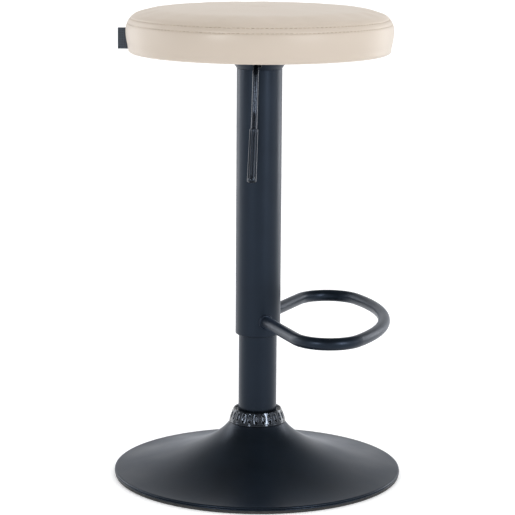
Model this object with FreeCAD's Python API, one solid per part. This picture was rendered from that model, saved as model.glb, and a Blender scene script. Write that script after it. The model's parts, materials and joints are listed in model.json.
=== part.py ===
import FreeCAD, Part
import math
import os

# Adjustable swivel stool on a trumpet base, in millimetres.
# The origin is on the floor on the column's axis, +Z is up, the foot ring points to +X
# and the release lever hangs on the -Y side. The seat is at its lowest.

# --- fits and gaps -----------------------------------------------------------------------
PRESS_GAP = 0.02        # radial gap of pieces that are pressed or welded together
RUNNING_GAP = 0.08      # radial gap of a piece that turns or slides in another
SLIDE_GAP = 0.3         # gap between moving pieces that never touch

# --- trumpet base ------------------------------------------------------------------------
BASE_RADIUS = 192.5
BASE_SHEET = 2.0
RIM_ROUND = 3.5             # radius of the rolled outer edge
RIM_TOP = 8.6               # height of the rolled edge
FLOOR_RING_HEIGHT = 3.8
FLOOR_RING_WIDTH = 8.0
FLOOR_RING_SETBACK = 1.0
FLOOR_RING_UPSTAND = 1.6
NECK_HEIGHT = 71.0          # where the flank meets the collar
NECK_STUB_HEIGHT = 6.2      # upright stub above that, inside the collar
NECK_STEP = 3.5             # from the stub out to the flank
NECK_SLOPE = 58.0           # degrees from the floor, at the neck
RIM_SLOPE = 6.0             # degrees from the floor, at the rim
NECK_PULL = 0.22            # length of the flank's end tangents, as shares of its chord
RIM_PULL = 0.35

# --- column ------------------------------------------------------------------------------
COLUMN_RADIUS = 25.5
COLUMN_WALL = 1.5
COLUMN_FOOT = 16.0          # height of the tube's lower end
COLUMN_BELOW_HUB = 7.0      # left between the guide bush and the seat's hub
SOCKET_WALL = 5.0
SOCKET_ROOM = 1.5           # between the socket and the trumpet's stub
SOCKET_FOOT = 14.0
FOOT_PLATE_LIFT = 8.0       # from the tube's lower end up to the plate
FOOT_PLATE_THICKNESS = 4.0
BUSH_DEPTH = 42.0
BUSH_FLANGE = 3.0

# --- trim collar -------------------------------------------------------------------------
COLLAR_PROUD = 0.4          # how far its bead stands out over the flank
COLLAR_HEIGHT = 18.8
COLLAR_BEAD = 3.2           # height of the smooth lower bead
COLLAR_WALL = 2.2
COLLAR_WELL_WIDTH = 4.7     # gap between the tube and the collar's upper lip
COLLAR_WELL_DEPTH = 4.0
POCKET_COUNT = 24
POCKET_WIDTH = 3.8
POCKET_HEIGHT = 9.0
POCKET_DEPTH = 1.2

# --- gas spring --------------------------------------------------------------------------
STROKE = 210.0
CYLINDER_RADIUS = 14.0
CYLINDER_WALL = 1.5
CYLINDER_TOP_WALL = 2.4
CYLINDER_FOOT = 75.0
CYLINDER_LIP = 2.0
CYLINDER_ABOVE_HUB = 1.5
CYLINDER_CAP = 3.0
TAPER_ANGLE = 1.438         # degrees, half angle of the standard gas spring taper
GAS_GAP = 2.0               # between the cylinder and the pressure tube
PRESSURE_TUBE_WALL = 1.0
ROD_RADIUS = 5.0
ROD_STEP = 1.0              # by which the rod's stub and tenon are thinner
ROD_STUB_END = 6.0          # stub below the foot plate
ROD_GUIDE_HEIGHT = 18.0
ROD_SEAL_HEIGHT = 5.0
PISTON_HEIGHT = 14.0
PISTON_CLEAR = 3.0          # left between piston and seal at full height
PISTON_RING_HEIGHT = 3.0
PISTON_RING_DEPTH = 2.0
VALVE_BODY_HEIGHT = 42.0
BUTTON_RADIUS = 4.0
BUTTON_PROUD = 3.9
BUTTON_LENGTH = 17.0
BUTTON_TRAVEL_ROOM = 3.5
BUTTON_DOME = 6.0           # radius of its domed top

# --- thrust bearing ----------------------------------------------------------------------
RACE_RADIUS = 12.0
RACE_THICKNESS = 2.0
BALL_RADIUS = 2.38
BALL_PITCH_RADIUS = 8.6
BALL_COUNT = 10
BALL_GAP = 0.1
CAGE_THICKNESS = 1.6
CAGE_WIDTH = 5.2
FOOT_WASHER_RADIUS = 9.0
FOOT_WASHER_THICKNESS = 1.6
CLIP_RADIUS = 7.0
CLIP_THICKNESS = 1.2
CLIP_DEPTH = 0.8            # depth of its groove in the stub
CLIP_MOUTH = 5.6
BUMP_STOP_RADIUS = 11.0

# --- sleeve and foot ring ----------------------------------------------------------------
SLEEVE_FOOT = 192.8
SLEEVE_LENGTH = 354.2
SLEEVE_ROOM = 3.0           # between the column and the sleeve's bore
SLEEVE_WALL = 1.5
SLEEVE_EDGE = 0.6           # rounding of its lower lip
SLEEVE_GUIDE_HEIGHT = 24.0
SLEEVE_GUIDE_SETBACK = 1.0
RING_TUBE_RADIUS = 8.0
RING_TUBE_WALL = 1.5
RING_LIFT = 20.4            # from the sleeve's lower end up to the ring's centreline
RING_LEG_ANGLE = 67.0       # degrees from +X to each leg
RING_HALF_WIDTH = 152.4
RING_CORNER_RADIUS = 44.5
RING_FRONT_RADIUS = 254.7
WELD_RADIUS = 1.8

# --- seat plate --------------------------------------------------------------------------
PLATE_SHEET = 2.5
PLATE_RADIUS = 85.0
CUP_SETBACK = 0.5           # from the sleeve's outside in to the foot of the cup's wall
CUP_DEPTH = 20.8            # from the flange's top down to the cup's underside
CUP_SLOPE = 55.0            # degrees from the floor
HUB_WALL = 8.0
HUB_HEIGHT = 28.5
BOLT_EDGE = 17.0            # from the plate's edge in to the bolts
BOLT_COUNT = 4
BOLT_RADIUS = 3.0
BOLT_PLAY = 0.4
BOLT_HEAD_RADIUS = 5.5
BOLT_HEAD_HEIGHT = 4.0
BOLT_SHORT_OF_BOARD = 1.5
HEX_SOCKET = 2.6            # radius of the socket in the bolt's head
WASHER_RADIUS = 7.5
WASHER_THICKNESS = 1.5
T_NUT_BARREL = 4.4
T_NUT_FLANGE = 9.0
T_NUT_SHEET = 1.4

# --- lever -------------------------------------------------------------------------------
LEVER_TURN = -3.25          # degrees the lever stands off the -Y direction
LEVER_ROD_RADIUS = 4.0
LEVER_TIP = -6.0            # past the column's axis
LEVER_FLAT = 5.0            # thickness of the flattened inner end
LEVER_FLAT_END = 9.0
LEVER_DROOP = 3.0           # degrees, slope of the inner run
LEVER_KNEE = 53.0           # distance of the upper bend from the column's axis
LEVER_KNEE_RADIUS = 16.0
LEVER_SHIN_ANGLE = 13.0     # degrees from upright, between the bends
LEVER_SHIN_DROP = 59.0
LEVER_ANKLE_RADIUS = 30.0
LEVER_GRIP_ANGLE = 23.0     # degrees from upright, at the grip
LEVER_NECK_DROP = 20.0      # from the lower bend down to the grip
PIVOT_OUT = 24.0
PIN_RADIUS = 2.0
PIN_PROUD = 1.0             # how far the pin stands out of each ear
EAR_THICKNESS = 2.0
EAR_LENGTH = 6.5
EAR_ABOVE_PIN = 4.2
BRACKET_FLOOR = 1.5
SLOT_ROOM = 1.5             # between the rod and each side of its slot in the cup
SLOT_SILL = 1.0             # below the rod, where it leaves the cup
GRIP_LENGTH = 70.0
GRIP_WALL = 1.7             # round the rod, at the grip's top
GRIP_FLARE = 0.5
GRIP_BACKING = 9.0          # solid end below the rod
FLUTE_COUNT = 8
FLUTE_RADIUS = 1.1
FLUTE_START = 1.5           # plain band above the flutes
FLUTE_STOP = 5.0            # from the flutes' lower ends to the start of the grip's dome

# --- cushion -----------------------------------------------------------------------------
DUST_COVER_THICKNESS = 0.8
COVER_THICKNESS = 1.2
CUSHION_RADIUS = 175.0
CUSHION_HEIGHT = 60.1
BAND_FOOT_INSET = 3.0       # the side band's foot stands this far inside its widest part
BAND_BULGE = 0.5            # by which the band is fuller than straight
FOOT_ROUND = 8.0            # rounding of the lower edge
WIDEST_LIFT = 34.0          # from the underside up to the widest part
SEAM_LIFT = 45.4            # from the underside up to the top seam
SEAM_INSET = 6.5
SHOULDER_INSET = 34.0
SHOULDER_DROP = 2.6         # from the crown's centre down to the shoulder
BOARD_INSET = 15.0
BOARD_THICKNESS = 12.0
HEM_INSET = 24.0            # from the cushion's widest part in to the hem's inner edge
STAPLE_COUNT = 30
STAPLE_WIDTH = 10.0
STAPLE_WIRE = 0.8
STAPLE_LEG = 6.0
STAPLE_INSET = 4.0          # from the hem's inner edge
TAG_AZIMUTH = 182.0
TAG_PROUD = 10.5
TAG_HEIGHT = 28.0
TAG_LIFT = 4.0              # from the underside up to the label's lower edge
TAG_THICKNESS = 1.2

UP = FreeCAD.Vector(0, 0, 1)
ORIGIN = FreeCAD.Vector(0, 0, 0)

# --- radii that follow from the sizes above ------------------------------------------------
STUB_RADIUS = COLUMN_RADIUS + SOCKET_WALL + SOCKET_ROOM + BASE_SHEET
NECK_RADIUS = STUB_RADIUS + NECK_STEP
COLLAR_FOOT_RADIUS = NECK_RADIUS + COLLAR_PROUD
COLLAR_LIP_BORE = COLUMN_RADIUS + COLLAR_WELL_WIDTH
COLLAR_TOP_RADIUS = COLLAR_LIP_BORE + COLLAR_WALL
CYLINDER_BORE = CYLINDER_RADIUS - CYLINDER_WALL
NECKED_BORE = CYLINDER_RADIUS - CYLINDER_TOP_WALL
PRESSURE_TUBE_RADIUS = CYLINDER_BORE - GAS_GAP
PISTON_RADIUS = PRESSURE_TUBE_RADIUS - PRESSURE_TUBE_WALL - RUNNING_GAP
ROD_STUB_RADIUS = ROD_RADIUS - ROD_STEP
SLEEVE_BORE = COLUMN_RADIUS + SLEEVE_ROOM
SLEEVE_RADIUS = SLEEVE_BORE + SLEEVE_WALL
CUP_RADIUS = SLEEVE_RADIUS - CUP_SETBACK
HUB_RADIUS = CYLINDER_RADIUS + HUB_WALL
BOLT_CIRCLE_RADIUS = PLATE_RADIUS - BOLT_EDGE
BOLT_HOLE_RADIUS = BOLT_RADIUS + BOLT_PLAY
GRIP_TOP_RADIUS = LEVER_ROD_RADIUS + GRIP_WALL
GRIP_END_RADIUS = GRIP_TOP_RADIUS + GRIP_FLARE
BOARD_RADIUS = CUSHION_RADIUS - BOARD_INSET
HEM_INNER_RADIUS = CUSHION_RADIUS - HEM_INSET

# --- heights that follow from the sizes above ----------------------------------------------
NECK_TOP = NECK_HEIGHT + NECK_STUB_HEIGHT
COLLAR_SEAT = NECK_HEIGHT + PRESS_GAP
COLLAR_TOP = COLLAR_SEAT + COLLAR_HEIGHT
SLEEVE_TOP = SLEEVE_FOOT + SLEEVE_LENGTH
CUP_UNDERSIDE = SLEEVE_TOP
CUP_FLOOR = CUP_UNDERSIDE + PLATE_SHEET
PLATE_TOP = CUP_UNDERSIDE + CUP_DEPTH
PLATE_UNDERSIDE = PLATE_TOP - PLATE_SHEET
HUB_FOOT = CUP_FLOOR - HUB_HEIGHT
COLUMN_TOP = HUB_FOOT - COLUMN_BELOW_HUB - BUSH_FLANGE
CYLINDER_TOP = CUP_FLOOR + CYLINDER_ABOVE_HUB
FOOT_PLATE_BOTTOM = COLUMN_FOOT + FOOT_PLATE_LIFT
FOOT_PLATE_TOP = FOOT_PLATE_BOTTOM + FOOT_PLATE_THICKNESS
CLIP_FOOT = FOOT_PLATE_BOTTOM - SLIDE_GAP - FOOT_WASHER_THICKNESS - CLIP_THICKNESS
RACE_GAP = 2 * BALL_RADIUS + 2 * BALL_GAP
BALL_HEIGHT = FOOT_PLATE_TOP + RACE_THICKNESS + RACE_GAP / 2
UPPER_RACE = FOOT_PLATE_TOP + RACE_THICKNESS + RACE_GAP
ROD_SHOULDER = UPPER_RACE + RACE_THICKNESS
ROD_GUIDE_FOOT = CYLINDER_FOOT + CYLINDER_LIP
ROD_SEAL_FOOT = ROD_GUIDE_FOOT + ROD_GUIDE_HEIGHT
PRESSURE_TUBE_FOOT = ROD_SEAL_FOOT + ROD_SEAL_HEIGHT
PISTON_FOOT = PRESSURE_TUBE_FOOT + STROKE + PISTON_CLEAR
VALVE_TOP = CYLINDER_TOP - CYLINDER_CAP
VALVE_FOOT = VALVE_TOP - VALVE_BODY_HEIGHT
BUTTON_TOP = CYLINDER_TOP + BUTTON_PROUD
BUTTON_FOOT = BUTTON_TOP - BUTTON_LENGTH
RING_HEIGHT = SLEEVE_FOOT + RING_LIFT
LEVER_AXIS_HEIGHT = BUTTON_TOP + SLIDE_GAP + LEVER_FLAT / 2     # at the column's axis
BOARD_UNDERSIDE = PLATE_TOP + DUST_COVER_THICKNESS
BOARD_TOP = BOARD_UNDERSIDE + BOARD_THICKNESS
SEAT_UNDERSIDE = BOARD_UNDERSIDE - COVER_THICKNESS


# --- plain shapes --------------------------------------------------------------------------
def disc(radius, low, high):
    """A solid disc on the column's axis."""
    return Part.makeCylinder(radius, high - low, FreeCAD.Vector(0, 0, low))


def tube(inner, outer, low, high):
    """A straight tube on the column's axis."""
    return disc(outer, low, high).cut(disc(inner, low - 1, high + 1))


def section_point(radius, height):
    """A point of a turned section, in the XZ plane."""
    return FreeCAD.Vector(radius, 0, height)


def corners(points):
    """The straight edges that join section points in order."""
    places = [section_point(*p) for p in points]
    return [Part.makeLine(a, b) for a, b in zip(places, places[1:])]


def arc(start, middle, end):
    """The circular edge through three section points."""
    return Part.Arc(section_point(*start), section_point(*middle), section_point(*end)).toShape()


def bezier(points):
    """The Bezier edge with these section points as its poles."""
    curve = Part.BezierCurve()
    curve.setPoles([section_point(*p) for p in points])
    return curve.toShape()


def turned(edges):
    """The solid that a closed section makes when turned about the column's axis."""
    face = Part.Face(Part.Wire(Part.__sortEdges__(edges)))
    solid = face.revolve(ORIGIN, UP, 360)
    return Part.makeSolid(solid) if solid.ShapeType != "Solid" else solid


def turned_polygon(points):
    """A turned solid with a straight-sided section."""
    return turned(corners(points + points[:1]))


def around(shape, count, first=0.0):
    """Copies of a shape, evenly spaced about the column's axis."""
    copies = []
    for i in range(count):
        copy = shape.copy()
        copy.rotate(ORIGIN, UP, first + 360 * i / count)
        copies.append(copy)
    return copies


def write(name, shape):
    """Writes one node."""
    shape.exportStep("parts/" + name + ".step")


# --- base ----------------------------------------------------------------------------------
def flank(inset):
    """The trumpet's flank as a Bezier edge, inset below its outer face, with its two ends."""
    neck, rim = math.radians(NECK_SLOPE), math.radians(RIM_SLOPE)
    top = (NECK_RADIUS - inset * math.sin(neck), NECK_HEIGHT - inset * math.cos(neck))
    foot_radius = BASE_RADIUS - RIM_ROUND
    foot = (foot_radius - inset * math.sin(rim), RIM_TOP - inset * math.cos(rim))
    chord = math.dist(top, foot)
    a, b = NECK_PULL * chord, RIM_PULL * chord
    after_top = (top[0] + a * math.cos(neck), top[1] - a * math.sin(neck))
    before_foot = (foot[0] - b * math.cos(rim), foot[1] + b * math.sin(rim))
    return bezier([top, after_top, before_foot, foot]), top, foot


def rolled_edge(foot, radius):
    """The rounded outer edge from the flank's foot down to the upright lip."""
    low = (radius, RIM_TOP - RIM_ROUND)
    turn = math.radians(45)
    reach_in = low[0] - foot[0]
    reach_up = foot[1] - low[1]
    middle = (foot[0] + reach_in * math.sin(turn), low[1] + reach_up * math.sin(turn))
    return arc(foot, middle, low), low


def trumpet_base():
    """Pressed steel trumpet: upright lip, rolled edge, concave flank, stub round the column."""
    outer, neck_out, foot_out = flank(0)
    inner, neck_in, foot_in = flank(BASE_SHEET)
    roll_out, lip_out = rolled_edge(foot_out, BASE_RADIUS)
    roll_in, lip_in = rolled_edge(foot_in, BASE_RADIUS - BASE_SHEET)
    hole = COLUMN_RADIUS + PRESS_GAP
    stub_bore = STUB_RADIUS - BASE_SHEET
    lip = corners([
        lip_out, (lip_out[0], FLOOR_RING_HEIGHT), (lip_in[0], FLOOR_RING_HEIGHT), lip_in])
    neck = corners([
        neck_out, (STUB_RADIUS, NECK_HEIGHT), (STUB_RADIUS, NECK_TOP), (hole, NECK_TOP),
        (hole, NECK_TOP - BASE_SHEET), (stub_bore, NECK_TOP - BASE_SHEET),
        (stub_bore, NECK_HEIGHT - BASE_SHEET), neck_in])
    return turned([outer, inner, roll_out, roll_in] + lip + neck)


def floor_ring():
    """Rubber ring under the rim, with an upstand that grips inside the steel lip."""
    outer = BASE_RADIUS - FLOOR_RING_SETBACK
    inner = outer - FLOOR_RING_WIDTH
    grip = BASE_RADIUS - BASE_SHEET - PRESS_GAP
    upstand = FLOOR_RING_HEIGHT + FLOOR_RING_UPSTAND
    return turned_polygon([
        (inner, 0), (outer - FLOOR_RING_SETBACK, 0), (outer, FLOOR_RING_SETBACK),
        (outer, FLOOR_RING_HEIGHT), (grip, FLOOR_RING_HEIGHT),
        (grip - FLOOR_RING_UPSTAND, upstand), (inner, upstand),
    ])


def base_socket():
    """Thick bush welded under the trumpet's top, which holds the column."""
    bore = COLUMN_RADIUS + PRESS_GAP
    return tube(bore, COLUMN_RADIUS + SOCKET_WALL, SOCKET_FOOT, NECK_TOP - BASE_SHEET)


def column_tube():
    """Lower column tube."""
    return tube(COLUMN_RADIUS - COLUMN_WALL, COLUMN_RADIUS, COLUMN_FOOT, COLUMN_TOP)


def column_foot_plate():
    """Thick plate in the column's lower end, which carries the thrust bearing."""
    outer = COLUMN_RADIUS - COLUMN_WALL - PRESS_GAP
    bore = ROD_STUB_RADIUS + SLIDE_GAP
    return tube(bore, outer, FOOT_PLATE_BOTTOM, FOOT_PLATE_TOP)


def guide_bush():
    """Flanged plastic bush in the column's upper end, in which the gas cylinder slides."""
    bore = CYLINDER_RADIUS + RUNNING_GAP
    spigot = tube(bore, COLUMN_RADIUS - COLUMN_WALL - PRESS_GAP, COLUMN_TOP - BUSH_DEPTH, COLUMN_TOP)
    return spigot.fuse(tube(bore, COLUMN_RADIUS, COLUMN_TOP, COLUMN_TOP + BUSH_FLANGE)).removeSplitter()


def trim_collar():
    """Ribbed ring that hides the joint of column and trumpet."""
    cone_foot = COLLAR_SEAT + COLLAR_BEAD
    cone_foot_radius = COLLAR_FOOT_RADIUS - COLLAR_WALL / 4
    cone_top = COLLAR_TOP - COLLAR_WALL / 2
    seat_radius = COLLAR_FOOT_RADIUS - COLLAR_WALL / 2
    bore = COLUMN_RADIUS + PRESS_GAP
    stub_bore = STUB_RADIUS + SLIDE_GAP
    web_top = COLLAR_TOP - COLLAR_WELL_DEPTH
    web_foot = NECK_TOP + SLIDE_GAP
    bead = arc((seat_radius, COLLAR_SEAT), (COLLAR_FOOT_RADIUS, COLLAR_SEAT + COLLAR_BEAD / 2),
               (cone_foot_radius, cone_foot))
    lip = arc((COLLAR_TOP_RADIUS, cone_top), (COLLAR_TOP_RADIUS - COLLAR_WALL / 2, COLLAR_TOP),
              (COLLAR_LIP_BORE, cone_top))
    inside = corners([
        (COLLAR_LIP_BORE, cone_top), (COLLAR_LIP_BORE, web_top), (bore, web_top), (bore, web_foot),
        (stub_bore, web_foot), (stub_bore, COLLAR_SEAT), (seat_radius, COLLAR_SEAT)])
    side = corners([(cone_foot_radius, cone_foot), (COLLAR_TOP_RADIUS, cone_top)])
    ring = turned([bead, lip] + side + inside)
    lean = (cone_foot_radius - COLLAR_TOP_RADIUS) / (cone_top - cone_foot)
    radius = (cone_foot_radius + COLLAR_TOP_RADIUS) / 2
    pocket = oval_pocket(radius, (cone_foot + cone_top) / 2, math.degrees(math.atan(lean)))
    return ring.cut(Part.makeCompound(around(pocket, POCKET_COUNT, 180 / POCKET_COUNT)))


def oval_pocket(radius, height, lean):
    """A tall round-ended cutter that sinks into the collar's side at +X."""
    half = POCKET_WIDTH / 2
    straight = POCKET_HEIGHT - POCKET_WIDTH
    start = radius - POCKET_DEPTH
    out = FreeCAD.Vector(1, 0, 0)
    low = FreeCAD.Vector(start, 0, height - straight / 2)
    high = FreeCAD.Vector(start, 0, height + straight / 2)
    reach = 3 * POCKET_DEPTH
    block = Part.makeBox(reach, POCKET_WIDTH, straight, FreeCAD.Vector(start, -half, low.z))
    ends = [Part.makeCylinder(half, reach, place, out) for place in (low, high)]
    cutter = block.fuse(ends).removeSplitter()
    cutter.rotate(FreeCAD.Vector(start, 0, height), FreeCAD.Vector(0, 1, 0), -lean)
    return cutter


# --- thrust bearing and spindle --------------------------------------------------------------
def ball_centres():
    """The places of the balls."""
    centres = []
    for i in range(BALL_COUNT):
        angle = 2 * math.pi * i / BALL_COUNT
        x = BALL_PITCH_RADIUS * math.cos(angle)
        y = BALL_PITCH_RADIUS * math.sin(angle)
        centres.append(FreeCAD.Vector(x, y, BALL_HEIGHT))
    return centres


def bearing_balls():
    """Steel balls."""
    return Part.makeCompound([Part.makeSphere(BALL_RADIUS, place) for place in ball_centres()])


def bearing_cage():
    """Flat ring that keeps the balls apart."""
    inner = BALL_PITCH_RADIUS - CAGE_WIDTH / 2
    outer = BALL_PITCH_RADIUS + CAGE_WIDTH / 2
    low = BALL_HEIGHT - CAGE_THICKNESS / 2
    cage = tube(inner, outer, low, low + CAGE_THICKNESS)
    holes = []
    for place in ball_centres():
        foot = FreeCAD.Vector(place.x, place.y, low - 1)
        holes.append(Part.makeCylinder(BALL_RADIUS + BALL_GAP, CAGE_THICKNESS + 2, foot))
    return cage.cut(Part.makeCompound(holes))


def bearing_race_lower():
    """Hardened washer on the foot plate."""
    bore = ROD_STUB_RADIUS + SLIDE_GAP
    return tube(bore, RACE_RADIUS, FOOT_PLATE_TOP, FOOT_PLATE_TOP + RACE_THICKNESS)


def bearing_race_upper():
    """Hardened washer under the rod's shoulder."""
    return tube(ROD_STUB_RADIUS + PRESS_GAP, RACE_RADIUS, UPPER_RACE, ROD_SHOULDER)


def piston_rod():
    """Rod with a stepped lower stub and a groove for the clip."""
    rod = disc(ROD_RADIUS, ROD_SHOULDER, PISTON_FOOT)
    stub = disc(ROD_STUB_RADIUS, FOOT_PLATE_BOTTOM - ROD_STUB_END, ROD_SHOULDER)
    tenon = disc(ROD_STUB_RADIUS, PISTON_FOOT, PISTON_FOOT + PISTON_HEIGHT)
    groove_floor = ROD_STUB_RADIUS - CLIP_DEPTH
    groove = tube(groove_floor, ROD_RADIUS, CLIP_FOOT, CLIP_FOOT + CLIP_THICKNESS)
    return rod.fuse([stub, tenon]).removeSplitter().cut(groove)


def retaining_clip():
    """Open spring clip under the washer."""
    inner = ROD_STUB_RADIUS - CLIP_DEPTH + PRESS_GAP
    clip = tube(inner, CLIP_RADIUS, CLIP_FOOT, CLIP_FOOT + CLIP_THICKNESS)
    corner = FreeCAD.Vector(0, -CLIP_MOUTH / 2, CLIP_FOOT - 1)
    return clip.cut(Part.makeBox(CLIP_RADIUS + 1, CLIP_MOUTH, CLIP_THICKNESS + 2, corner))


def foot_washer():
    """Washer between the foot plate and the clip."""
    low = CLIP_FOOT + CLIP_THICKNESS
    return tube(ROD_STUB_RADIUS + PRESS_GAP, FOOT_WASHER_RADIUS, low, low + FOOT_WASHER_THICKNESS)


def bump_stop():
    """Rubber buffer that the cylinder comes down on."""
    return tube(ROD_RADIUS + PRESS_GAP, BUMP_STOP_RADIUS, ROD_SHOULDER, CYLINDER_FOOT - SLIDE_GAP)


def piston():
    """Grooved piston on the rod's upper end."""
    top = PISTON_FOOT + PISTON_HEIGHT
    body = tube(ROD_STUB_RADIUS + PRESS_GAP, PISTON_RADIUS, PISTON_FOOT, top)
    return body.cut(piston_groove(0))


def piston_groove(gap):
    """The ring that fills the piston's groove, with a gap at its root."""
    middle = PISTON_FOOT + PISTON_HEIGHT / 2
    root = PISTON_RADIUS - PISTON_RING_DEPTH + gap
    half = PISTON_RING_HEIGHT / 2 - gap
    return tube(root, PISTON_RADIUS, middle - half, middle + half)


def piston_seal():
    """Seal ring in the piston's groove."""
    return piston_groove(PRESS_GAP)


# --- gas cylinder ----------------------------------------------------------------------------
def taper_radius(height):
    """The cylinder's outer radius at a height inside the hub."""
    return CYLINDER_RADIUS - (height - HUB_FOOT) * math.tan(math.radians(TAPER_ANGLE))


def gas_cylinder():
    """Pressure cylinder: rolled lower lip, tapered top, hole for the valve button."""
    lip = ROD_RADIUS + 2 * CYLINDER_LIP
    hole = BUTTON_RADIUS + RUNNING_GAP
    return turned_polygon([
        (lip, CYLINDER_FOOT), (CYLINDER_RADIUS, CYLINDER_FOOT), (CYLINDER_RADIUS, HUB_FOOT),
        (taper_radius(CYLINDER_TOP), CYLINDER_TOP), (hole, CYLINDER_TOP), (hole, VALVE_TOP),
        (NECKED_BORE, VALVE_TOP), (NECKED_BORE, HUB_FOOT), (CYLINDER_BORE, HUB_FOOT - CYLINDER_WALL),
        (CYLINDER_BORE, ROD_GUIDE_FOOT), (lip, ROD_GUIDE_FOOT),
    ])


def rod_guide():
    """Guide at the cylinder's lower end."""
    return tube(ROD_RADIUS + RUNNING_GAP, CYLINDER_BORE - PRESS_GAP, ROD_GUIDE_FOOT, ROD_SEAL_FOOT)


def rod_seal():
    """Lip seal above the guide."""
    return tube(ROD_RADIUS + RUNNING_GAP, CYLINDER_BORE - PRESS_GAP, ROD_SEAL_FOOT, PRESSURE_TUBE_FOOT)


def pressure_tube():
    """Inner tube in which the piston runs."""
    inner = PRESSURE_TUBE_RADIUS - PRESSURE_TUBE_WALL
    return tube(inner, PRESSURE_TUBE_RADIUS, PRESSURE_TUBE_FOOT, VALVE_FOOT)


def button_pocket():
    """The space that the valve button moves in."""
    return disc(BUTTON_RADIUS + RUNNING_GAP, BUTTON_FOOT - BUTTON_TRAVEL_ROOM, VALVE_TOP + 1)


def valve_body():
    """Valve block in the cylinder's tapered top."""
    return disc(NECKED_BORE - PRESS_GAP, VALVE_FOOT, VALVE_TOP).cut(button_pocket())


def valve_button():
    """Domed button that the lever presses."""
    dome_centre = BUTTON_TOP - BUTTON_DOME
    dome = Part.makeSphere(BUTTON_DOME, FreeCAD.Vector(0, 0, dome_centre))
    straight = disc(BUTTON_RADIUS, BUTTON_FOOT, dome_centre)
    return straight.fuse(disc(BUTTON_RADIUS, dome_centre, BUTTON_TOP).common(dome)).removeSplitter()


# --- sleeve and foot ring --------------------------------------------------------------------
def sleeve_tube():
    """Upper tube, which slides over the column."""
    sleeve = tube(SLEEVE_BORE, SLEEVE_RADIUS, SLEEVE_FOOT, SLEEVE_TOP)
    lip = [e for e in sleeve.Edges if e.Closed and e.BoundBox.ZMax < SLEEVE_FOOT + SLEEVE_WALL]
    return sleeve.makeFillet(SLEEVE_EDGE, lip)


def sleeve_guide():
    """Plastic ring in the sleeve's lower end, which runs on the column."""
    low = SLEEVE_FOOT + SLEEVE_GUIDE_SETBACK
    return tube(COLUMN_RADIUS + RUNNING_GAP, SLEEVE_BORE - PRESS_GAP, low, low + SLEEVE_GUIDE_HEIGHT)


def leg_direction(side):
    """The outward direction of the foot ring's leg on the -Y (-1) or +Y (+1) side."""
    leg = math.radians(RING_LEG_ANGLE)
    return FreeCAD.Vector(math.cos(leg), side * math.sin(leg), 0)


def bend_point(centre_x, centre_y, radius, heading):
    """The point of a left-hand bend at which the ring's centreline has this heading."""
    x = centre_x + radius * math.sin(heading)
    y = centre_y - radius * math.cos(heading)
    return FreeCAD.Vector(x, y, RING_HEIGHT)


def ring_path():
    """The foot ring's centreline: leg, corner, front, corner, leg, tangent throughout."""
    leg = math.radians(RING_LEG_ANGLE)
    side = RING_HALF_WIDTH - RING_CORNER_RADIUS
    leg_length = (side + RING_CORNER_RADIUS * math.cos(leg)) / math.sin(leg)
    corner_x = leg_length * math.cos(leg) + RING_CORNER_RADIUS * math.sin(leg)
    offset = RING_FRONT_RADIUS - RING_CORNER_RADIUS
    front_x = corner_x - math.sqrt(offset ** 2 - side ** 2)
    meet_heading = math.atan2(corner_x - front_x, side)
    root = leg_direction(-1) * (SLEEVE_RADIUS / 2) + UP * RING_HEIGHT
    bend = bend_point(corner_x, -side, RING_CORNER_RADIUS, -leg)
    turn = bend_point(corner_x, -side, RING_CORNER_RADIUS, (meet_heading - leg) / 2)
    meet = bend_point(corner_x, -side, RING_CORNER_RADIUS, meet_heading)
    nose = FreeCAD.Vector(front_x + RING_FRONT_RADIUS, 0, RING_HEIGHT)
    near = [Part.makeLine(root, bend), Part.Arc(bend, turn, meet).toShape()]
    front = Part.Arc(meet, nose, FreeCAD.Vector(meet.x, -meet.y, meet.z)).toShape()
    far = [edge.mirror(ORIGIN, FreeCAD.Vector(0, 1, 0)) for edge in near]
    return Part.Wire(Part.__sortEdges__(near + [front] + far))


def along_ring(radius):
    """A solid of round section along the foot ring's centreline."""
    path = ring_path()
    start = leg_direction(-1) * (SLEEVE_RADIUS / 2) + UP * RING_HEIGHT
    section = Part.Wire(Part.makeCircle(radius, start, leg_direction(-1)))
    return path.makePipeShell([section], True, False)


def foot_ring():
    """Bent tube, cut to a saddle where its legs meet the sleeve."""
    bar = along_ring(RING_TUBE_RADIUS).cut(along_ring(RING_TUBE_RADIUS - RING_TUBE_WALL))
    return bar.cut(disc(SLEEVE_RADIUS, SLEEVE_FOOT, SLEEVE_TOP)).Solids[0]


def ring_welds():
    """Weld beads round the legs' saddles."""
    keep_out = along_ring(RING_TUBE_RADIUS).fuse(disc(SLEEVE_RADIUS, SLEEVE_FOOT, SLEEVE_TOP))
    sag = SLEEVE_RADIUS - math.sqrt(SLEEVE_RADIUS ** 2 - RING_TUBE_RADIUS ** 2)
    beads = []
    for side in (-1, 1):
        out = leg_direction(side)
        place = out * (SLEEVE_RADIUS - sag / 2) + UP * RING_HEIGHT
        bead = Part.makeTorus(RING_TUBE_RADIUS, WELD_RADIUS, place, out)
        beads.append(bead.cut(keep_out).Solids[0])
    return Part.makeCompound(beads)


# --- seat plate --------------------------------------------------------------------------------
def cup_radius(height):
    """The outer radius of the cup's sloping wall at a height."""
    return CUP_RADIUS + (height - CUP_UNDERSIDE) / math.tan(math.radians(CUP_SLOPE))


def bolt_places(low):
    """The places of the seat bolts at a height."""
    places = []
    for i in range(BOLT_COUNT):
        angle = 2 * math.pi * (i + 0.5) / BOLT_COUNT
        x = BOLT_CIRCLE_RADIUS * math.cos(angle)
        places.append(FreeCAD.Vector(x, BOLT_CIRCLE_RADIUS * math.sin(angle), low))
    return places


def bolt_cylinders(radius, low, high):
    """Upright cylinders at the bolts."""
    return Part.makeCompound([Part.makeCylinder(radius, high - low, place) for place in bolt_places(low)])


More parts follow.
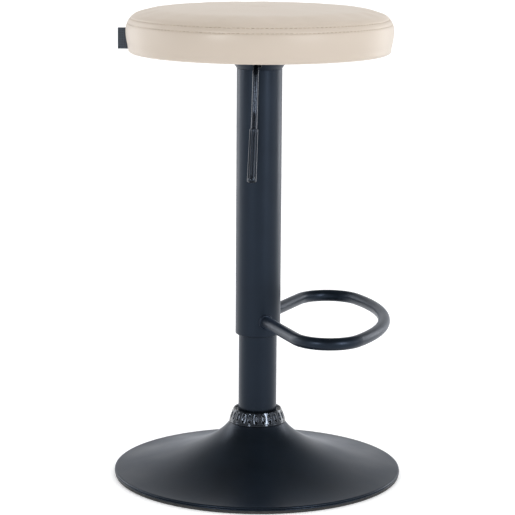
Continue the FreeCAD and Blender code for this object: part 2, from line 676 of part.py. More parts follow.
def bolt_tubes(inner, outer, low, high):
    """Upright tubes at the bolts."""
    return bolt_cylinders(outer, low, high).cut(bolt_cylinders(inner, low - 1, high + 1))


def seat_plate():
    """Dished steel plate: flat cup floor, sloping wall, flat flange under the board."""
    wall = PLATE_SHEET / math.sin(math.radians(CUP_SLOPE))
    bore = HUB_RADIUS + PRESS_GAP
    dish = turned_polygon([
        (bore, CUP_UNDERSIDE), (CUP_RADIUS, CUP_UNDERSIDE),
        (cup_radius(PLATE_UNDERSIDE), PLATE_UNDERSIDE),
        (PLATE_RADIUS, PLATE_UNDERSIDE), (PLATE_RADIUS, PLATE_TOP),
        (cup_radius(PLATE_TOP) - wall, PLATE_TOP), (cup_radius(CUP_FLOOR) - wall, CUP_FLOOR),
        (bore, CUP_FLOOR),
    ])
    half = LEVER_ROD_RADIUS + SLOT_ROOM
    low = inner_run_height(cup_radius(PLATE_UNDERSIDE)) - LEVER_ROD_RADIUS - SLOT_SILL
    slot = Part.makeBox(
        PLATE_RADIUS / 2, 2 * half, PLATE_UNDERSIDE - low, FreeCAD.Vector(HUB_RADIUS, -half, low))
    holes = bolt_cylinders(BOLT_HOLE_RADIUS, PLATE_UNDERSIDE - 1, PLATE_TOP + 1)
    return dish.cut([turn_to_lever(slot), holes])


def plate_hub():
    """Thick welded hub with a tapered bore for the gas cylinder."""
    return turned_polygon([
        (taper_radius(HUB_FOOT) + PRESS_GAP, HUB_FOOT), (HUB_RADIUS, HUB_FOOT), (HUB_RADIUS, CUP_FLOOR),
        (taper_radius(CUP_FLOOR) + PRESS_GAP, CUP_FLOOR),
    ])


def hexagon(radius, centre):
    """A level six-sided face."""
    tips = []
    for i in range(7):
        angle = math.pi * i / 3
        tips.append(centre + FreeCAD.Vector(radius * math.cos(angle), radius * math.sin(angle), 0))
    return Part.Face(Part.makePolygon(tips))


def seat_bolts():
    """Socket-head bolts up through the flange into the board."""
    head_top = PLATE_UNDERSIDE - WASHER_THICKNESS
    heads = bolt_cylinders(BOLT_HEAD_RADIUS, head_top - BOLT_HEAD_HEIGHT, head_top)
    sockets = []
    for place in bolt_places(head_top - BOLT_HEAD_HEIGHT - 1):
        sockets.append(hexagon(HEX_SOCKET, place).extrude(UP * (1 + BOLT_HEAD_HEIGHT / 2)))
    bolts = []
    shanks = bolt_cylinders(BOLT_RADIUS, head_top, BOARD_TOP - BOLT_SHORT_OF_BOARD)
    for head, shank, socket in zip(heads.Solids, shanks.Solids, sockets):
        bolts.append(head.fuse(shank).removeSplitter().cut(socket))
    return Part.makeCompound(bolts)


def bolt_washers():
    """Plain washers under the bolt heads."""
    return bolt_tubes(BOLT_HOLE_RADIUS, WASHER_RADIUS, PLATE_UNDERSIDE - WASHER_THICKNESS, PLATE_UNDERSIDE)


def t_nuts():
    """Flanged nuts pressed into the board from above."""
    bore = BOLT_RADIUS + PRESS_GAP
    flange_low = BOARD_TOP - T_NUT_SHEET
    nuts = []
    barrels = bolt_tubes(bore, T_NUT_BARREL, BOARD_UNDERSIDE + T_NUT_SHEET, flange_low)
    flanges = bolt_tubes(bore, T_NUT_FLANGE, flange_low, BOARD_TOP)
    for barrel, flange in zip(barrels.Solids, flanges.Solids):
        nuts.append(barrel.fuse(flange).removeSplitter())
    return Part.makeCompound(nuts)


# --- lever -------------------------------------------------------------------------------------
def turn_to_lever(shape):
    """Turns a shape made along +X, with its width along Y, to the side where the lever hangs."""
    shape = shape.copy()
    shape.rotate(ORIGIN, UP, LEVER_TURN - 90)
    return shape


def lever_point(out, height):
    """A point in the lever's own plane before it is turned into place."""
    return FreeCAD.Vector(out, 0, height)


def inner_run_height(out):
    """The height of the rod's inner run at a distance from the column's axis."""
    return LEVER_AXIS_HEIGHT - out * math.tan(math.radians(LEVER_DROOP))


def lever_knots():
    """The corners of the lever's centreline: tip, knee, ankle, top of the grip, end of the rod."""
    shin, foot = math.radians(LEVER_SHIN_ANGLE), math.radians(LEVER_GRIP_ANGLE)
    tip = lever_point(LEVER_TIP, inner_run_height(LEVER_TIP))
    knee = lever_point(LEVER_KNEE, inner_run_height(LEVER_KNEE))
    ankle = knee + lever_point(math.tan(shin), -1) * LEVER_SHIN_DROP
    along = lever_point(math.sin(foot), -math.cos(foot))
    grip = ankle + along * (LEVER_NECK_DROP / math.cos(foot))
    end = grip + along * (GRIP_LENGTH - GRIP_BACKING)
    return tip, knee, ankle, grip, end


def rounded_corner(before, corner, after, radius):
    """The tangent arc that rounds a corner, with its two ends."""
    back = (before - corner).normalize()
    ahead = (after - corner).normalize()
    half = back.getAngle(ahead) / 2
    length = radius / math.tan(half)
    start = corner + back * length
    end = corner + ahead * length
    bisector = (back + ahead).normalize()
    middle = corner + bisector * (radius / math.sin(half) - radius)
    return start, Part.Arc(start, middle, end).toShape(), end


def lever_rod():
    """Bent round rod with a flattened inner end and a cross hole for the pin."""
    tip, knee, ankle, _, end = lever_knots()
    knee_in, knee_arc, knee_out = rounded_corner(tip, knee, ankle, LEVER_KNEE_RADIUS)
    ankle_in, ankle_arc, ankle_out = rounded_corner(knee, ankle, end, LEVER_ANKLE_RADIUS)
    path = Part.Wire([
        Part.makeLine(tip, knee_in), knee_arc, Part.makeLine(knee_out, ankle_in),
        ankle_arc, Part.makeLine(ankle_out, end)])
    section = Part.Wire(Part.makeCircle(LEVER_ROD_RADIUS, tip, knee - tip))
    rod = path.makePipeShell([section], True, False)
    flats = []
    length = LEVER_FLAT_END - LEVER_TIP
    for side in (-1, 1):
        low = LEVER_FLAT / 2 if side > 0 else -LEVER_FLAT / 2 - LEVER_ROD_RADIUS
        corner = FreeCAD.Vector(LEVER_TIP - 1, -2 * LEVER_ROD_RADIUS, inner_run_height(LEVER_TIP) + low)
        flat = Part.makeBox(length + 1, 4 * LEVER_ROD_RADIUS, LEVER_ROD_RADIUS, corner)
        flat.rotate(tip, FreeCAD.Vector(0, 1, 0), LEVER_DROOP)
        flats.append(flat)
    return turn_to_lever(rod.cut(flats + [pin_cylinder(PIN_RADIUS + RUNNING_GAP, 6 * LEVER_ROD_RADIUS)]))


def pin_cylinder(radius, length):
    """A cylinder on the pivot's axis, before it is turned into place."""
    foot = FreeCAD.Vector(PIVOT_OUT, -length / 2, inner_run_height(PIVOT_OUT))
    return Part.makeCylinder(radius, length, foot, FreeCAD.Vector(0, 1, 0))


def ear_gap():
    """Half the distance between the bracket's ears."""
    return LEVER_ROD_RADIUS + SLIDE_GAP


def lever_bracket():
    """Folded bracket in the cup, with an ear on each side of the rod."""
    half = ear_gap()
    start = PIVOT_OUT - EAR_LENGTH / 2
    height = inner_run_height(PIVOT_OUT) + EAR_ABOVE_PIN - CUP_FLOOR
    outside = Part.makeBox(
        EAR_LENGTH, 2 * (half + EAR_THICKNESS), height,
        FreeCAD.Vector(start, -half - EAR_THICKNESS, CUP_FLOOR))
    inside = Part.makeBox(
        EAR_LENGTH + 2, 2 * half, height, FreeCAD.Vector(start - 1, -half, CUP_FLOOR + BRACKET_FLOOR))
    return turn_to_lever(outside.cut([inside, pin_cylinder(PIN_RADIUS + PRESS_GAP, 6 * LEVER_ROD_RADIUS)]))


def lever_pin():
    """Pivot pin in the bracket's ears."""
    return turn_to_lever(pin_cylinder(PIN_RADIUS, 2 * (ear_gap() + EAR_THICKNESS + PIN_PROUD)))


def lever_grip():
    """Fluted, slightly flared grip with a rounded end."""
    _, _, _, top, _ = lever_knots()
    dome = GRIP_LENGTH - GRIP_END_RADIUS
    grip = Part.makeCone(GRIP_TOP_RADIUS, GRIP_END_RADIUS, dome)
    grip = grip.fuse(Part.makeSphere(GRIP_END_RADIUS, UP * dome, UP, 0, 90, 360))
    flare = math.degrees(math.atan(GRIP_FLARE / dome))
    flute = Part.makeCylinder(FLUTE_RADIUS, dome - FLUTE_STOP - FLUTE_START)
    flute.rotate(ORIGIN, FreeCAD.Vector(0, 1, 0), flare)
    flute.translate(FreeCAD.Vector(GRIP_TOP_RADIUS, 0, FLUTE_START))
    bore = disc(LEVER_ROD_RADIUS + PRESS_GAP, -1, GRIP_LENGTH - GRIP_BACKING)
    grip = grip.cut(around(flute, FLUTE_COUNT, 180 / FLUTE_COUNT) + [bore])
    grip.rotate(ORIGIN, FreeCAD.Vector(0, 1, 0), 180 - LEVER_GRIP_ANGLE)
    grip.translate(top)
    return turn_to_lever(grip)


# --- cushion -----------------------------------------------------------------------------------
def cushion(inset):
    """The cushion's solid with its whole surface set in by a thickness."""
    low = SEAT_UNDERSIDE + inset
    top = SEAT_UNDERSIDE + CUSHION_HEIGHT - inset
    widest = (CUSHION_RADIUS - inset, SEAT_UNDERSIDE + WIDEST_LIFT)
    foot_radius = CUSHION_RADIUS - BAND_FOOT_INSET - inset
    seam = (CUSHION_RADIUS - SEAM_INSET - inset, SEAT_UNDERSIDE + SEAM_LIFT)
    shoulder = (CUSHION_RADIUS - SHOULDER_INSET, top - SHOULDER_DROP)
    roundness = FOOT_ROUND - inset
    bend = roundness * (1 - math.sin(math.radians(45)))
    foot = (foot_radius, low + roundness)
    band_middle = ((foot[0] + widest[0]) / 2 + BAND_BULGE, (foot[1] + widest[1]) / 2)
    seam_middle = (widest[0] - SEAM_INSET / 5, (widest[1] + seam[1]) / 2)
    corner = arc((foot_radius - roundness, low), (foot_radius - bend, low + bend), foot)
    lower_band = arc(foot, band_middle, widest)
    upper_band = arc(widest, seam_middle, seam)
    shoulder_curve = bezier([
        seam, (seam[0] - SEAM_INSET, (seam[1] + 2 * top) / 3),
        ((seam[0] + shoulder[0]) / 2, shoulder[1] - SHOULDER_DROP / 3), shoulder])
    crown_curve = bezier([shoulder, (shoulder[0] / 2, top), (0, top)])
    base = corners([(0, top), (0, low), (foot_radius - roundness, low)])
    return turned([corner, lower_band, upper_band, shoulder_curve, crown_curve] + base)


def seat_cover():
    """Upholstery cover, turned in under the board as a hem."""
    shell = cushion(0).cut(cushion(COVER_THICKNESS))
    return shell.cut(disc(HEM_INNER_RADIUS, SEAT_UNDERSIDE - 1, BOARD_UNDERSIDE + COVER_THICKNESS / 2))


def seat_board():
    """Plywood disc with counterbored holes for the T-nuts."""
    board = disc(BOARD_RADIUS, BOARD_UNDERSIDE, BOARD_TOP)
    barrels = bolt_cylinders(T_NUT_BARREL + PRESS_GAP, BOARD_UNDERSIDE - 1, BOARD_TOP + 1)
    flanges = bolt_cylinders(T_NUT_FLANGE + PRESS_GAP, BOARD_TOP - T_NUT_SHEET, BOARD_TOP + 1)
    return board.cut([barrels, flanges])


def seat_foam():
    """Foam on and round the board."""
    return cushion(COVER_THICKNESS + PRESS_GAP).cut(disc(BOARD_RADIUS, SEAT_UNDERSIDE, BOARD_TOP))


def dust_cover():
    """Non-woven disc between the board and the seat plate."""
    cover = disc(HEM_INNER_RADIUS - SLIDE_GAP, PLATE_TOP, BOARD_UNDERSIDE)
    return cover.cut(bolt_cylinders(BOLT_HOLE_RADIUS, PLATE_TOP - 1, BOARD_UNDERSIDE + 1))


def cover_staples():
    """Staples that hold the hem to the board."""
    out = HEM_INNER_RADIUS + STAPLE_INSET
    low = SEAT_UNDERSIDE - STAPLE_WIRE
    half = STAPLE_WIDTH / 2
    crown = Part.makeBox(STAPLE_WIRE, STAPLE_WIDTH, STAPLE_WIRE, FreeCAD.Vector(out, -half, low))
    legs = []
    for y in (-half, half - STAPLE_WIRE):
        legs.append(Part.makeBox(STAPLE_WIRE, STAPLE_WIRE, STAPLE_LEG, FreeCAD.Vector(out, y, low)))
    return Part.makeCompound(around(crown.fuse(legs).removeSplitter(), STAPLE_COUNT))


def side_tag():
    """Folded woven label sewn into the side band."""
    inside = 2 * COVER_THICKNESS
    low = SEAT_UNDERSIDE + TAG_LIFT
    start = CUSHION_RADIUS - BAND_FOOT_INSET - inside
    tag = Part.makeBox(
        TAG_PROUD + BAND_FOOT_INSET + inside, TAG_THICKNESS, TAG_HEIGHT,
        FreeCAD.Vector(start, -TAG_THICKNESS / 2, low))
    tag.rotate(ORIGIN, UP, TAG_AZIMUTH)
    return tag.cut(cushion(0))


NODES = (
    trumpet_base, floor_ring, base_socket, column_tube, column_foot_plate, guide_bush, trim_collar,
    bearing_race_lower, bearing_cage, bearing_balls,
    bearing_race_upper, piston_rod, piston, piston_seal, bump_stop, foot_washer, retaining_clip,
    gas_cylinder, pressure_tube, rod_guide, rod_seal, valve_body, valve_button,
    sleeve_tube, sleeve_guide, foot_ring, ring_welds,
    seat_plate, plate_hub, lever_bracket, lever_pin, lever_rod, lever_grip,
    seat_bolts, bolt_washers, t_nuts, seat_board, seat_foam, seat_cover, dust_cover, cover_staples, side_tag,
)

os.makedirs("parts", exist_ok=True)
for node in NODES:
    write(node.__name__, node())
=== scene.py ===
"""Looks of the adjustable swivel stool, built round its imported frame.

Every length is in metres, in the frame's own axes: the origin is on the floor under the column,
+Z is up, the foot ring points to +X and the release lever hangs on the -Y side.
"""

import json
import logging
import math
import random
from dataclasses import dataclass
from enum import Enum
from typing import Any, Callable, Iterable, Optional, Sequence, Union

import bmesh
import bpy
from mathutils import Matrix, Vector
from mathutils.bvhtree import BVHTree


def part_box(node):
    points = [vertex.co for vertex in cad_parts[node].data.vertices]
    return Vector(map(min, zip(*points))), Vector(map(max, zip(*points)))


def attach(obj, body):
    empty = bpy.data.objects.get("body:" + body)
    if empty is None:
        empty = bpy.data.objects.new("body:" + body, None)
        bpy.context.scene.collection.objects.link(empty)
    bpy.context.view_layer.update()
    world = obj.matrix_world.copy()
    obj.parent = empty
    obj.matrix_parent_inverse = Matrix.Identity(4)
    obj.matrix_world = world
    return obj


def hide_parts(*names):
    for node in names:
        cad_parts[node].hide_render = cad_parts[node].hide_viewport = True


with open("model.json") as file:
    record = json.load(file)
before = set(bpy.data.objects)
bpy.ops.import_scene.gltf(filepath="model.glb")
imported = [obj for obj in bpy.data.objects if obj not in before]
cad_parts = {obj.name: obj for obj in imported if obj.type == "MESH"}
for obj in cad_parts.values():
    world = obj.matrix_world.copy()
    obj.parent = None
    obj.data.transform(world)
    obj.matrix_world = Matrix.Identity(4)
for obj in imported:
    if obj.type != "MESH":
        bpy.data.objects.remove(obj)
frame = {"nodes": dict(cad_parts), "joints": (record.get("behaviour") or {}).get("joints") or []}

logging.basicConfig(level=logging.INFO, format="%(message)s")
log = logging.getLogger("stool")

MM = 0.001
FULL_TURN = 2 * math.pi
UP = Vector((0, 0, 1))
WHITE = (1, 1, 1, 1)
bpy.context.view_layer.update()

Object = bpy.types.Object
Socket = bpy.types.NodeSocket
Point = tuple[float, float]
Place = tuple[float, float, float]
Colour = tuple[float, float, float, float]


class Slot(Enum):
    """The record's material slots."""

    POWDER_COAT = "powder_coated_steel"
    LEVER_ENAMEL = "lever_enamel"
    GLOSS_ABS = "gloss_black_abs"
    GRIP_PLASTIC = "moulded_grip_plastic"
    RUBBER = "black_rubber"
    BARE_STEEL = "bare_steel"
    BEARING_STEEL = "bearing_steel"
    CHROMED_ROD = "chromed_rod"
    CYLINDER_PAINT = "black_cylinder_paint"
    ZINC = "zinc_plated_steel"
    ACETAL = "acetal"
    PLYWOOD = "plywood"
    FOAM = "seat_foam"
    FAUX_LEATHER = "faux_leather"
    NON_WOVEN = "non_woven"
    WOVEN_LABEL = "woven_label"


# --- small tools ---
def linear(hex_colour: str) -> Colour:
    """Turns an sRGB hex colour into linear RGBA.

    Args:
        hex_colour: six hex digits, such as "1c2126".

    Returns:
        The linear red, green and blue, with an alpha of 1.
    """
    channels = []
    for i in (0, 2, 4):
        value = int(hex_colour[i:i + 2], 16) / 255
        channels.append(value / 12.92 if value <= 0.04045 else ((value + 0.055) / 1.055) ** 2.4)
    return channels[0], channels[1], channels[2], 1.0


def per_metre(spacing_mm: float) -> float:
    """The texture scale that gives a pattern this spacing in millimetres."""
    return 1 / (spacing_mm * MM)


def clamp(value: float) -> float:
    """The value, kept between 0 and 1."""
    return min(1.0, max(0.0, value))


def bell(distance: float, width: float) -> float:
    """A bell curve: 1 at no distance, and 1/e at a distance of its width."""
    return math.exp(-(distance / width) ** 2)


def radius_of(place: Vector) -> float:
    """Distance from the column's axis."""
    return math.hypot(place.x, place.y)


def turned_to(across: Vector, along: Vector, out: Vector) -> Matrix:
    """The turn that takes X, Y and Z to three directions."""
    return Matrix((across, along, out)).transposed().to_4x4()


def add_node(tree: bpy.types.NodeTree, kind: str, values: Optional[dict] = None,
             links: Optional[dict] = None, **settings: Any) -> bpy.types.Node:
    """Adds a node with its settings and links.

    Args:
        tree: the node tree.
        kind: the node's Blender type.
        values: socket name or number to its value.
        links: socket name or number to the output that feeds it.
        settings: the node's own properties.

    Returns:
        The new node.
    """
    node = tree.nodes.new(kind)
    for name, value in settings.items():
        setattr(node, name, value)
    for socket, value in (values or {}).items():
        node.inputs[socket].default_value = value
    for socket, source in (links or {}).items():
        tree.links.new(source, node.inputs[socket])
    return node


def put_in_scene(name: str, data: bpy.types.ID) -> Object:
    """Makes an object of a mesh, a light or a camera and links it to the scene."""
    made = bpy.data.objects.new(name, data)
    bpy.context.scene.collection.objects.link(made)
    return made


def deselect_all() -> None:
    """Leaves edit mode and deselects every object."""
    if bpy.context.object and bpy.context.object.mode != "OBJECT":
        bpy.ops.object.mode_set(mode="OBJECT")
    bpy.ops.object.select_all(action="DESELECT")


def pick(piece: Object) -> None:
    """Makes one object the only selected and the active one."""
    deselect_all()
    piece.select_set(True)
    bpy.context.view_layer.objects.active = piece


def begin(name: str) -> Object:
    """Names the primitive just added, settles its place in its mesh and opens it in edit mode."""
    piece = bpy.context.object
    piece.name = name
    piece.data.name = name
    bpy.ops.object.transform_apply(location=True, rotation=True, scale=True)
    bpy.ops.object.mode_set(mode="EDIT")
    bpy.ops.mesh.select_all(action="SELECT")
    return piece


def end_edit() -> None:
    """Turns the normals outwards and leaves edit mode."""
    bpy.ops.mesh.select_all(action="SELECT")
    bpy.ops.mesh.normals_make_consistent(inside=False)
    bpy.ops.object.mode_set(mode="OBJECT")


def select_where(piece: Object, test: Callable[[Vector], bool]) -> None:
    """Selects the vertices of the object in edit mode whose places pass a test."""
    bpy.ops.mesh.select_mode(type="VERT")
    bpy.ops.mesh.select_all(action="DESELECT")
    mesh = bmesh.from_edit_mesh(piece.data)
    for vertex in mesh.verts:
        if test(vertex.co):
            vertex.select_set(True)
    mesh.select_flush(True)
    bmesh.update_edit_mesh(piece.data)


def apply_modifier(piece: Object, kind: str, **settings: Any) -> None:
    """Adds a modifier with its settings and applies it."""
    pick(piece)
    modifier = piece.modifiers.new(kind.title(), kind)
    for name, value in settings.items():
        setattr(modifier, name, value)
    if kind == "SUBSURF":
        modifier.render_levels = modifier.levels
    bpy.ops.object.modifier_apply(modifier=modifier.name)


def smooth(piece: Object, degrees: float) -> None:
    """Shades a piece smooth, with creases sharper than an angle kept."""
    pick(piece)
    bpy.ops.object.shade_smooth_by_angle(angle=math.radians(degrees))


def next_ring(shift: Place, scale: Place, centre: Place) -> None:
    """Extrudes the selected ring by a shift and scales the new one about its centre."""
    bpy.ops.mesh.extrude_region_move(TRANSFORM_OT_translate={"value": shift})
    bpy.ops.transform.resize(value=scale, center_override=centre)


def grow(start: Point, outline: Iterable[Point]) -> None:
    """Extrudes the selected ring up the axis, ring by ring.

    Args:
        start: radius and height of the selected ring.
        outline: radius and height of each further ring, in order.
    """
    radius, height = start
    for next_radius, next_height in outline:
        share = next_radius / radius
        next_ring((0, 0, next_height - height), (share, share, 1), (0, 0, next_height))
        radius, height = next_radius, next_height


def turned_piece(name: str, sides: int, outline: Sequence[Point], closed: bool) -> Object:
    """Grows a turned piece ring by ring from a circle.

    Args:
        name: the piece's name.
        sides: vertices in each ring.
        outline: radius and height of each ring, in order.
        closed: True joins the last ring to the first; False closes each end at the axis.

    Returns:
        The object, in object mode, with its normals outwards.
    """
    deselect_all()
    radius, height = outline[0]
    bpy.ops.mesh.primitive_circle_add(vertices=sides, radius=radius, location=(0, 0, height))
    piece = begin(name)
    grow(outline[0], outline[1:])
    if closed:
        bpy.ops.mesh.select_all(action="DESELECT")
        bpy.ops.mesh.select_mode(type="EDGE")
        bpy.ops.mesh.select_non_manifold()
        bpy.ops.mesh.bridge_edge_loops()
    else:
        reach = 1e-5
        for end_radius, end_height in (outline[-1], outline[0]):
            select_where(piece, lambda v: abs(v.z - end_height) < reach
                         and abs(radius_of(v) - end_radius) < reach)
            bpy.ops.mesh.extrude_region_move(TRANSFORM_OT_translate={"value": (0, 0, 0)})
            bpy.ops.mesh.merge(type="CENTER")
    end_edit()
    return piece


def curve_through(poles: Sequence[Point], share: float) -> Point:
    """A point of the Bezier curve with these poles.

    Args:
        poles: the curve's poles.
        share: how far along it, from 0 to 1.

    Returns:
        The point's radius and height.
    """
    points = list(poles)
    while len(points) > 1:
        points = [(a[0] + (b[0] - a[0]) * share, a[1] + (b[1] - a[1]) * share)
                  for a, b in zip(points, points[1:])]
    return points[0]


def resample(path: Sequence[Point], step_at: Callable[[Point], float]) -> list[Point]:
    """Points along a path, spaced as a rule says.

    Args:
        path: a dense path.
        step_at: the wanted spacing at a point.

    Returns:
        The points, with both ends kept.
    """
    kept, run = [path[0]], 0.0
    for before, point in zip(path, path[1:]):
        run += math.dist(before, point)
        if run >= step_at(point):
            kept.append(point)
            run = 0.0
    if math.dist(kept[-1], path[-1]) < step_at(path[-1]) / 2:
        kept.pop()
    return kept + [path[-1]]


def copies_joined(name: str, model: Object, places: Iterable[Matrix]) -> Object:
    """Copies a small piece to many places and joins the copies into one piece.

    Args:
        name: the joined piece's name.
        model: the piece to copy, which is removed afterwards.
        places: where each copy goes.

    Returns:
        The joined piece.
    """
    deselect_all()
    last = None
    for place in places:
        last = put_in_scene(name, model.data.copy())
        last.data.transform(place)
        last.select_set(True)
    bpy.context.view_layer.objects.active = last
    bpy.ops.object.join()
    bpy.data.objects.remove(model)
    last.name = name
    last.data.name = name
    return last


# --- finishes ---
@dataclass
class Surface:
    """A material being made: its node tree, its Principled shader and its Object coordinates."""

    tree: bpy.types.NodeTree
    shader: bpy.types.Node
    place: Socket

    def texture(self, kind: str, scale: float, sockets: dict[str, float],
                **settings: str) -> bpy.types.Node:
        """Adds a texture in Object coordinates.

        Args:
            kind: the texture, such as "Noise".
            scale: its scale.
            sockets: its other values, by socket name in small letters.
            settings: the node's own properties.

        Returns:
            The texture's node.
        """
        values = {"Scale": scale, **{name.capitalize(): value for name, value in sockets.items()}}
        return add_node(self.tree, "ShaderNodeTex" + kind, values, {"Vector": self.place}, **settings)

    def noise(self, spacing_mm: float, **sockets: float) -> Socket:
        """Cloudy noise of a spacing in millimetres."""
        return self.texture("Noise", per_metre(spacing_mm), sockets).outputs[0]

    def cells(self, spacing_mm: float, feature: str = "F1", **sockets: float) -> Socket:
        """Distances to the middles of cells of a spacing in millimetres."""
        return self.texture("Voronoi", per_metre(spacing_mm), sockets, feature=feature).outputs[0]

    def bands(self, spacing_mm: float, direction: str, **sockets: float) -> Socket:
        """Bands across a direction; twenty of the node's units make one band."""
        scale = per_metre(spacing_mm) / 20
        return self.texture("Wave", scale, sockets, bands_direction=direction).outputs[1]

    def combine(self, operation: str, *terms: Union[float, Socket]) -> Socket:
        """Combines numbers and textures by a Math node's operation."""
        node = add_node(self.tree, "ShaderNodeMath", operation=operation)
        for i, term in enumerate(terms):
            if isinstance(term, float):
                node.inputs[i].default_value = term
            else:
                self.tree.links.new(term, node.inputs[i])
        return node.outputs[0]

    def set(self, **values: Union[float, Colour]) -> None:
        """Sets the shader's own values, by socket name with underscores."""
        for name, value in values.items():
            self.shader.inputs[name.replace("_", " ")].default_value = value

    def colour(self, source: Socket, low: str, high: str, span: Point = (0.35, 0.65)) -> None:
        """Feeds the base colour from two colours, mixed by a texture.

        Args:
            source: the texture's value.
            low: the colour at the low end.
            high: the colour at the high end.
            span: the texture values that count as low and high.
        """
        share = add_node(self.tree, "ShaderNodeMapRange", {"From Min": span[0], "From Max": span[1]},
                         {"Value": source})
        mix = add_node(self.tree, "ShaderNodeMix", {6: linear(low), 7: linear(high)},
                       {0: share.outputs[0]}, data_type="RGBA")
        self.tree.links.new(mix.outputs[2], self.shader.inputs["Base Color"])

    def roughness(self, source: Socket, low: float, high: float) -> None:
        """Feeds the roughness from a texture, between two values."""
        share = add_node(self.tree, "ShaderNodeMapRange",
                         {"From Min": 0.3, "From Max": 0.7, "To Min": low, "To Max": high},
                         {"Value": source})
        self.tree.links.new(share.outputs[0], self.shader.inputs["Roughness"])

    def bump(self, source: Socket, depth_mm: float, strength: float) -> None:
        """Raises the surface by a texture, as bump of a depth in millimetres."""
        bump = add_node(self.tree, "ShaderNodeBump", {"Strength": strength, "Distance": depth_mm * MM},
                        {"Height": source})
        self.tree.links.new(bump.outputs["Normal"], self.shader.inputs["Normal"])


@dataclass(frozen=True)
class Finish:
    """One material: its name, its colour and how rough it is."""

    name: str
    colour: str
    roughness: float
    ior: float = 1.5
    metallic: float = 0.0

    def material(self) -> bpy.types.Material:
        """The Blender material, made the first time it is asked for."""
        made = bpy.data.materials.get(self.name)
        if made:
            return made
        made = bpy.data.materials.new(self.name)
        made.use_nodes = True
        tree = made.node_tree
        tree.nodes.clear()
        shader = add_node(tree, "ShaderNodeBsdfPrincipled",
                          {"Base Color": linear(self.colour), "Roughness": self.roughness,
                           "Metallic": self.metallic})
        if not self.metallic:
            shader.inputs["IOR"].default_value = self.ior
        add_node(tree, "ShaderNodeOutputMaterial", links={"Surface": shader.outputs["BSDF"]})
        place = add_node(tree, "ShaderNodeTexCoord").outputs["Object"]
        self.dress(Surface(tree, shader, place))
        made.diffuse_color = linear(self.colour)
        return made

    def dress(self, surface: Surface) -> None:
        """Adds the finish's own detail to a surface."""


@dataclass(frozen=True)
class PowderCoat(Finish):
    """Matt polyester powder, baked on steel: a fine even grit that breaks up every reflection."""

    tint: str = "0d141b"
    grit_mm: float = 0.9
    cloud_mm: float = 60

    def dress(self, surface: Surface) -> None:
        """Fine grit as bump, with cloudy changes of colour and gloss and a cold sheen."""
        grit = surface.noise(self.grit_mm, detail=3.0, roughness=0.6)
        cloud = surface.noise(self.cloud_mm, detail=2.0)
        surface.colour(cloud, self.colour, self.tint)
        surface.roughness(cloud, self.roughness - 0.04, self.roughness + 0.04)
        surface.bump(grit, 0.05, 0.6)
        surface.set(Specular_IOR_Level=0.36, Specular_Tint=linear("bcd3f6"), Sheen_Weight=0.1,
                    Sheen_Roughness=0.35, Sheen_Tint=linear("a8caff"))


@dataclass(frozen=True)
class RodEnamel(Finish):
    """Stoved enamel on steel: smooth, with a satin gloss and a slight orange peel."""

    peel_mm: float = 2.2

    def dress(self, surface: Surface) -> None:
        """Orange peel a few millimetres across."""
        peel = surface.noise(self.peel_mm, detail=1.0)
        surface.bump(peel, 0.003, 0.4)
        surface.set(Specular_Tint=linear("c4d6f2"))
        surface.roughness(peel, self.roughness - 0.03, self.roughness + 0.05)


@dataclass(frozen=True)
class MouldedPlastic(Finish):
    """Injection-moulded plastic: the mould's fine spark texture or its polish shows."""

    texture_mm: float = 0.7
    depth_mm: float = 0.006
    handling_mm: float = 14
    coat: float = 0.0

    def dress(self, surface: Surface) -> None:
        """Mould texture as bump, and slight changes of gloss from handling."""
        texture = surface.noise(self.texture_mm, detail=2.0)
        handling = surface.noise(self.handling_mm, detail=3.0)
        surface.bump(texture, self.depth_mm, 0.5)
        surface.roughness(handling, self.roughness * 0.8, self.roughness * 1.25)
        surface.set(Coat_Weight=self.coat, Specular_Tint=linear("c4d6f2"))


@dataclass(frozen=True)
class Rubber(Finish):
    """Moulded black rubber: dull, with a dusty bloom in patches."""

    bloom: str = "2b2b2c"

    def dress(self, surface: Surface) -> None:
        """Bloom in patches and a fine grain."""
        bloom = surface.noise(9, detail=4.0)
        grain = surface.noise(0.6)
        surface.colour(bloom, self.colour, self.bloom)
        surface.bump(grain, 0.03, 0.4)


@dataclass(frozen=True)
class TurnedSteel(Finish):
    """Steel as it leaves the lathe, the plating bath or the grinder: fine rings and stains."""

    stain: str = "6d6f72"
    ring_mm: float = 0.8
    depth_mm: float = 0.01

    def dress(self, surface: Surface) -> None:
        """Fine turning rings across the axis, and stains in the plating."""
        rings = surface.bands(self.ring_mm, "Z", distortion=1.5, detail=2.0)
        stains = surface.noise(7, detail=4.0)
        surface.colour(stains, self.stain, self.colour)
        surface.roughness(stains, self.roughness - 0.05, self.roughness + 0.1)
        surface.bump(rings, self.depth_mm, 0.3)


@dataclass(frozen=True)
class Plywood(Finish):
    """Birch plywood: pale long grain on the faces, thin dark glue lines round the edge."""

    grain: str = "c8a878"
    ply_mm: float = 2.0

    def dress(self, surface: Surface) -> None:
        """Stretched grain, with the plies as bands up the edge."""
        stretched = add_node(surface.tree, "ShaderNodeMapping",
                             {"Scale": (per_metre(60), per_metre(3), 1)}, {"Vector": surface.place})
        along_grain = Surface(surface.tree, surface.shader, stretched.outputs[0])
        fibres = along_grain.texture("Noise", 1.0, {"detail": 5.0}).outputs[0]
        plies = surface.bands(self.ply_mm, "Z")
        total = surface.combine("MULTIPLY_ADD", plies, surface.combine("MULTIPLY", fibres, 0.5), 0.25)
        surface.colour(total, self.grain, self.colour, (0.25, 0.6))
        surface.bump(fibres, 0.08, 0.4)


